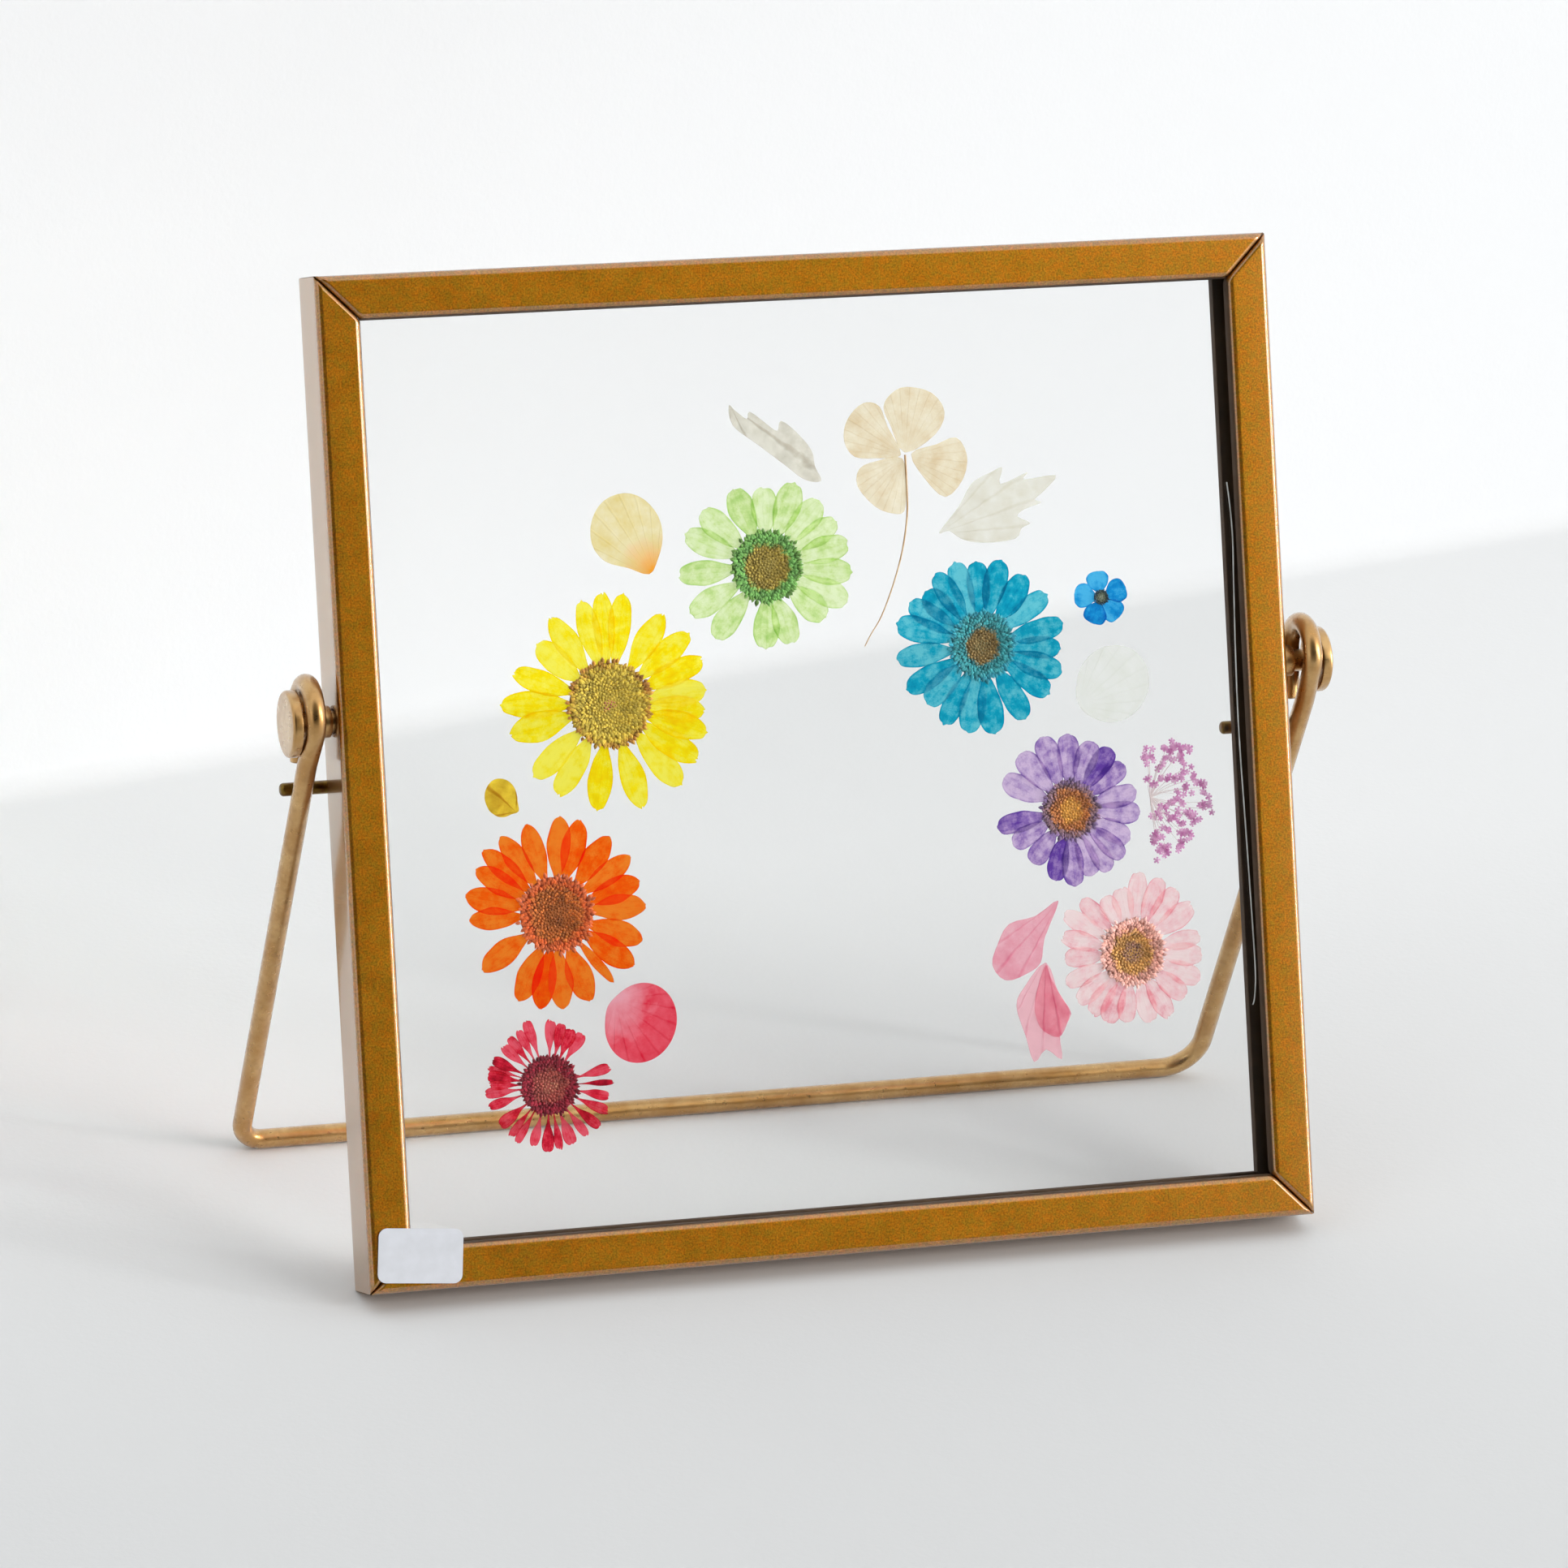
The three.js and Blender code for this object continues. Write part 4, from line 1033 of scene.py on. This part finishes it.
CLOVER = ("clover_leaf", tint(254, 247, 224), tint(226, 200, 154), (16.5, 119), 40, 0.14,
          0.4, 0.5, 0.14)
LOOSE = {
    # slot, light, deep, where the veins start, how many, strength, glow, sheer, crumple,
    # and where a patch near the base has its own colour, that colour and how far it reaches: a real
    # root tint, and on the red round petal a painted sheen
    # The red round petal's pale patch at its upper left is a painted sheen, given here as its root
    # tint.
    "red_round_petal": ("red_petal", tint(252, 106, 124), tint(230, 28, 58), (-33.6, 40.6), 26, 0.3,
                        0.4, 0.5, 0.1, (tint(252, 176, 190), 6.5)),
    "cream_round_petal": ("cream_leaf", tint(250, 251, 248), tint(238, 240, 230), (42.2, 79.7), 30,
                          0.3, 0.4, 0.75, 0.12),
    "yellow_bud": ("yellow_petal", tint(252, 222, 66), tint(186, 128, 14), (-47.5, 69.5), 7, 0.6,
                   0.35, 0.2, 0.8),
    "pale_yellow_petal": ("pale_yellow_petal", tint(250, 242, 206), tint(234, 210, 112),
                          (-23.8, 102.8), 36, 0.12, 0.4, 0.5, 0.14, (tint(255, 164, 0), 6.5)),
    "cream_folded_leaf": ("cream_leaf", tint(250, 248, 236), tint(204, 197, 180), (-10.7, 128), 13,
                          0.6, 0.4, 0.4, 0.6),
    "cream_lobed_leaf": ("cream_leaf", tint(246, 245, 236), tint(222, 217, 198), (21, 107), 26,
                         0.35, 0.4, 0.65, 0.16),
    "clover_leaflet_left": CLOVER,
    "clover_leaflet_top": CLOVER,
    "clover_leaflet_right": CLOVER,
    "clover_leaflet_bottom": CLOVER,
    "pink_upper_petal": ("pink_petal", tint(252, 200, 210), tint(236, 134, 160), (37.6, 50.6), 26,
                         0.4, 0.4, 0.5, 0.22),
    "pink_lower_petal": ("pink_petal", tint(252, 198, 208), tint(230, 124, 152), (34.8, 42), 26,
                         0.4, 0.4, 0.5, 0.3),
}


def with_fold(sheet, crumple):
    """Lays the folded part of the lower pink petal over it, a shade darker."""
    paint(sheet, "tone", -0.55)
    over = cut_sheet("pink_lower_petal_fold", PINK_FOLD, crumple)
    over.data.transform(Matrix.Translation((0, -0.14 * MM, 0)))
    paint(over, "tone", 0.08)
    return join([sheet, over], sheet.name)


def build_loose_petals():
    for name, outline in OUTLINES.items():
        slot, light, deep, base, spread, veins, glow, sheer, crumple, *root_tint_and_sheen = LOOSE[name]
        dried = leaf_material(name + "_dried", light, deep, base, spread, veins, glow, sheer, *root_tint_and_sheen)
        sheet = cut_sheet(name + "_sheet", outline, crumple * MM)
        if name == "pink_lower_petal":
            sheet = with_fold(sheet, crumple * MM)
        stand_up(sheet, "frame", dried, name)


CLOVER_STEM = [(16.5, 119.2), (16.5, 114), (16.3, 110), (15.3, 105), (13.6, 100),
               (11.4, 95.2), (9.6, 92.6), (8.5, 90.8)]


def clover_stem():
    points = [pressed_at(x, z, -0.1 * MM) for x, z in CLOVER_STEM]
    return drawn_thread("clover_stem_thread", smooth_line(points, 4), 0.17 * MM, 8, 0.6)


def stem_material():
    r = Recipe("clover_stem_dried")
    streak = r.noise(r.place(stretch=(1, 5, 1)), 1.5, detail=4)
    shade = r.mix(r.ramp(streak, 0.35, 0.65), tint(226, 196, 156), tint(196, 156, 112))
    return r.finish(r.surface(Base_Color=shade, Roughness=0.65, Normal=r.bump(streak, 0.03 * MM, 0.5)))


# ---- lace flower: a spray of hair-thin stalks with a floret on each ----

SPRAY_BASE = (53.1, 65.2)
BLOOMS = 5
FLORETS = [(53.3, 71.9), (52.9, 70.7), (53.3, 67.9), (56.2, 72.7), (57.7, 72.5), (59.1, 72.4),
           (54.6, 70), (56.2, 71.5), (57.9, 71.1), (59.2, 69.4), (55.7, 68.5), (57.8, 67.4),
           (59, 66), (60.9, 67.5), (61.3, 66.1), (57, 65.5), (55.5, 64), (57.5, 63.6),
           (61.9, 63.9), (62.3, 62.8), (56.2, 62.3), (59.4, 62.1), (60.3, 61.5), (57.9, 61.4),
           (53.9, 62), (58.1, 59), (58.9, 58.9), (58, 57.3), (55.3, 59.8), (54.3, 59),
           (54.4, 56.3), (55.4, 57), (53.7, 58.5)]


def floret_pattern():
    """A flower one unit across with five rounded lobes and a small raised heart."""
    lobe = 360 / 5
    put_down()
    bpy.ops.mesh.primitive_circle_add(vertices=20, radius=1, fill_type="NGON",
                                      rotation=(math.pi / 2, 0, 0))
    floret = open_new("floret_pattern")

    def between_lobes(co):
        turn = math.degrees(math.atan2(co.z, co.x)) % lobe
        return min(turn, lobe - turn) < 12
    pick(floret, "VERT", between_lobes)
    resize((0.4, 1, 0.4))
    pick_all()
    bpy.ops.mesh.inset(thickness=0.18)
    bpy.ops.transform.translate(value=(0, -0.12, 0))
    pick_all()
    pull((0, 0.16, 0))
    return close_up(floret, 50)


def lace_material():
    """Pale stalks and lilac florets in one piece, told apart by their tone."""
    r = Recipe("lace_flower_dried")
    here = r.place()
    blotch = r.noise(here, 1.2, detail=4)
    lilac = r.mix(r.ramp(blotch, 0.35, 0.65), tint(240, 200, 228), tint(206, 132, 186))
    colour = r.mix(r.painted("tone"), tint(236, 226, 226), lilac)
    return thin_surface(r, colour, r.bump(blotch, 0.05 * MM, 0.5), 0.4, 0.35)


def build_lace_flower():
    chance = random.Random("lace flower")
    lilac = lace_material()
    pattern = floret_pattern()
    start = pressed_at(*SPRAY_BASE)
    for word, side in (("upper", 1), ("lower", -1)):
        parts = []
        for x, z in FLORETS:
            if (z > SPRAY_BASE[1]) != (side > 0):
                continue
            end = pressed_at(x, z, chance.uniform(-0.2, 0.2) * MM)
            bow = Vector((chance.uniform(-0.5, 0.1) * MM, 0, side * 0.4 * MM))
            line = smooth_line([start, (start + end) / 2 + bow, end], 3)
            parts.append(drawn_thread("stalk", line, 0.09 * MM, 6, 0.5))
            paint(parts[-1], "tone", 0.0)
            for _ in range(BLOOMS):
                size = chance.uniform(0.46, 0.62) * MM
                across, deep, up = (chance.uniform(-far, far) * MM for far in (0.85, 0.2, 0.85))
                nudge = Matrix.Translation(end + Vector((across, deep, up)))
                turn = Matrix.Rotation(chance.uniform(0, 6.28), 4, "Y")
                tilt = Matrix.Rotation(chance.uniform(-0.35, 0.35), 4, "X")
                bloom = copy_of(pattern, "bloom", nudge @ turn @ tilt @ Matrix.Scale(size, 4))
                paint(bloom, "tone", 1.0)
                parts.append(bloom)
        spray = join(parts, word + "_spray_of_florets")
        stand_up(spray, "frame", lilac, "lace_flower_" + word + "_spray")
    throw_away(pattern)


# ---- room: floor, wall, light and camera, in metres ----

FLOOR_REACH = 3.0
WALL_HEIGHT = 2.2
COVE = 0.004
WALL_FOOT = Matrix.Translation((-0.088, 0.148, 0)) @ Matrix.Rotation(math.radians(12.97), 4, "Z")


def backdrop_material():
    """Matt pale card, seen from its front only."""
    r = Recipe("pale_backdrop")
    here = r.add("ShaderNodeTexCoord").outputs["Object"]
    cloud = r.ramp(r.noise(here, 3.0, detail=2), 0.3, 0.7)
    # The floor is painted darker near the front and lighter towards the wall: painted light, for the
    # light the wall throws back onto it.
    near = r.mix(cloud, tint(206, 207, 207), tint(211, 212, 212))
    floor = r.mix(r.ramp(r.part(here, "Y"), -0.16, 0.1), near, tint(229, 230, 230))
    # The wall is painted lighter on the left and darker on the right, where the windows light it more:
    # painted light and shade.
    wall = r.mix(r.ramp(r.part(here, "X"), -0.06, 0.3), tint(248, 249, 250), tint(237, 238, 239))
    shade = r.mix(r.ramp(r.part(here, "Z"), 0.0, COVE), floor, wall)
    grain = r.noise(here, 900.0, detail=2)
    card = r.surface(Base_Color=shade, Roughness=0.85, Specular_IOR_Level=0.2,
                     Normal=r.bump(grain, 0.0001, 0.3))
    return r.finish(r.blend(r.back_side(), card, r.clear()))


def paper_backdrop():
    """One pale sheet: floor, a soft cove and the wall behind, turned a little to the right."""
    paper = backdrop_material()
    put_down()
    bpy.ops.mesh.primitive_plane_add(size=1, location=(0, 0, 0))
    sheet = open_new("backdrop_sheet")
    pick_all()
    resize((2 * FLOOR_REACH, 2 * FLOOR_REACH, 1))
    bpy.ops.transform.translate(value=(0, -FLOOR_REACH, 0))
    pick(sheet, "EDGE", lambda middle, way: middle.y > -0.01 and abs(way.x) > 0.9)
    pull((0, 0, WALL_HEIGHT))

    def wall_corner(middle, way):
        return abs(middle.y) < 0.01 and middle.z < 0.01 and abs(way.x) > 0.9
    ease(sheet, wall_corner, COVE, 6)
    close_up(sheet, 60)
    if max(sheet.data.polygons, key=lambda face: face.area).normal.z < 0:
        sheet.data.flip_normals()
    put_down()
    bpy.ops.mesh.primitive_plane_add(size=1, location=(0, 0, 0))
    floor_behind = open_new("floor_behind")
    pick_all()
    resize((2 * FLOOR_REACH, FLOOR_REACH, 1))
    bpy.ops.transform.translate(value=(0, FLOOR_REACH / 2 - 0.01, -0.0002))
    bpy.ops.object.mode_set(mode="OBJECT")
    for card in (sheet, floor_behind):
        card.data.transform(WALL_FOOT)
        card.data.materials.append(paper)


def soft_box(name, spot, target, size, power, colour):
    put_down()
    bpy.ops.object.light_add(type="AREA", location=spot)
    lamp = bpy.context.object
    lamp.name = name
    lamp.data.shape = "RECTANGLE"
    lamp.data.size, lamp.data.size_y = size
    lamp.data.energy = power
    lamp.data.color = colour
    lamp.rotation_euler = (Vector(target) - lamp.location).to_track_quat("-Z", "Y").to_euler()


def light_the_room():
    """An even pale room, dim on the side that the glass would mirror, and two windows."""
    r = Recipe("soft_room", world=True)
    way = r.add("ShaderNodeTexCoord").outputs["Generated"]
    dim_side = Vector((-0.2, -0.9, 0.38)).normalized()
    toward = r.add("ShaderNodeVectorMath", {"operation": "DOT_PRODUCT"}, _0=way, _1=dim_side)
    strength = r.ramp(toward.outputs["Value"], 0.7, 0.86, 1.22, 0.035, "SMOOTHSTEP")
    glow = r.add("ShaderNodeBackground", Color=(0.98, 0.99, 1.0, 1), Strength=strength)
    bpy.context.scene.world = r.finish(glow.outputs[0])
    soft_box("window_right", (1.86, -1.86, 1.44), (0, 0, 0.05), (1.0, 1.0), 20, (1.0, 0.99, 0.97))
    soft_box("window_gap", (1.95, -1.1, 0.55), (0, 0, 0.07), (0.05, 0.9), 15, (1.0, 1.0, 1.0))


def set_camera():
    put_down()
    bpy.ops.object.camera_add(location=(-0.40395, -1.074053, 0.59515),
                              rotation=[math.radians(a) for a in (65.123325, -4.538386, -18.278355)])
    camera = bpy.context.object
    camera.name = "front_camera"
    camera.data.lens = 192.94136
    camera.data.sensor_width = 36
    camera.data.clip_start = 0.05
    camera.data.clip_end = 20
    bpy.context.scene.camera = camera


set_camera()
build_bars(gold_bar_material())
build_stand(gold_wire_material())
pane = clear_glass_material()
for node in ("front_glass", "rear_glass"):
    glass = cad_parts[node]
    glass.data.materials.clear()
    glass.data.materials.append(pane)
stand_up(paper_label(), "frame", white_paper_material(), "paper_label")
stand_up(stray_fibre(), "frame", painted_highlight_thread_material(), "stray_fibre")
build_daisies()
build_forget_me_not()
build_loose_petals()
stand_up(clover_stem(), "frame", stem_material(), "clover_stem")
build_lace_flower()
paper_backdrop()
light_the_room()
bpy.context.scene.view_settings.view_transform = "Standard"
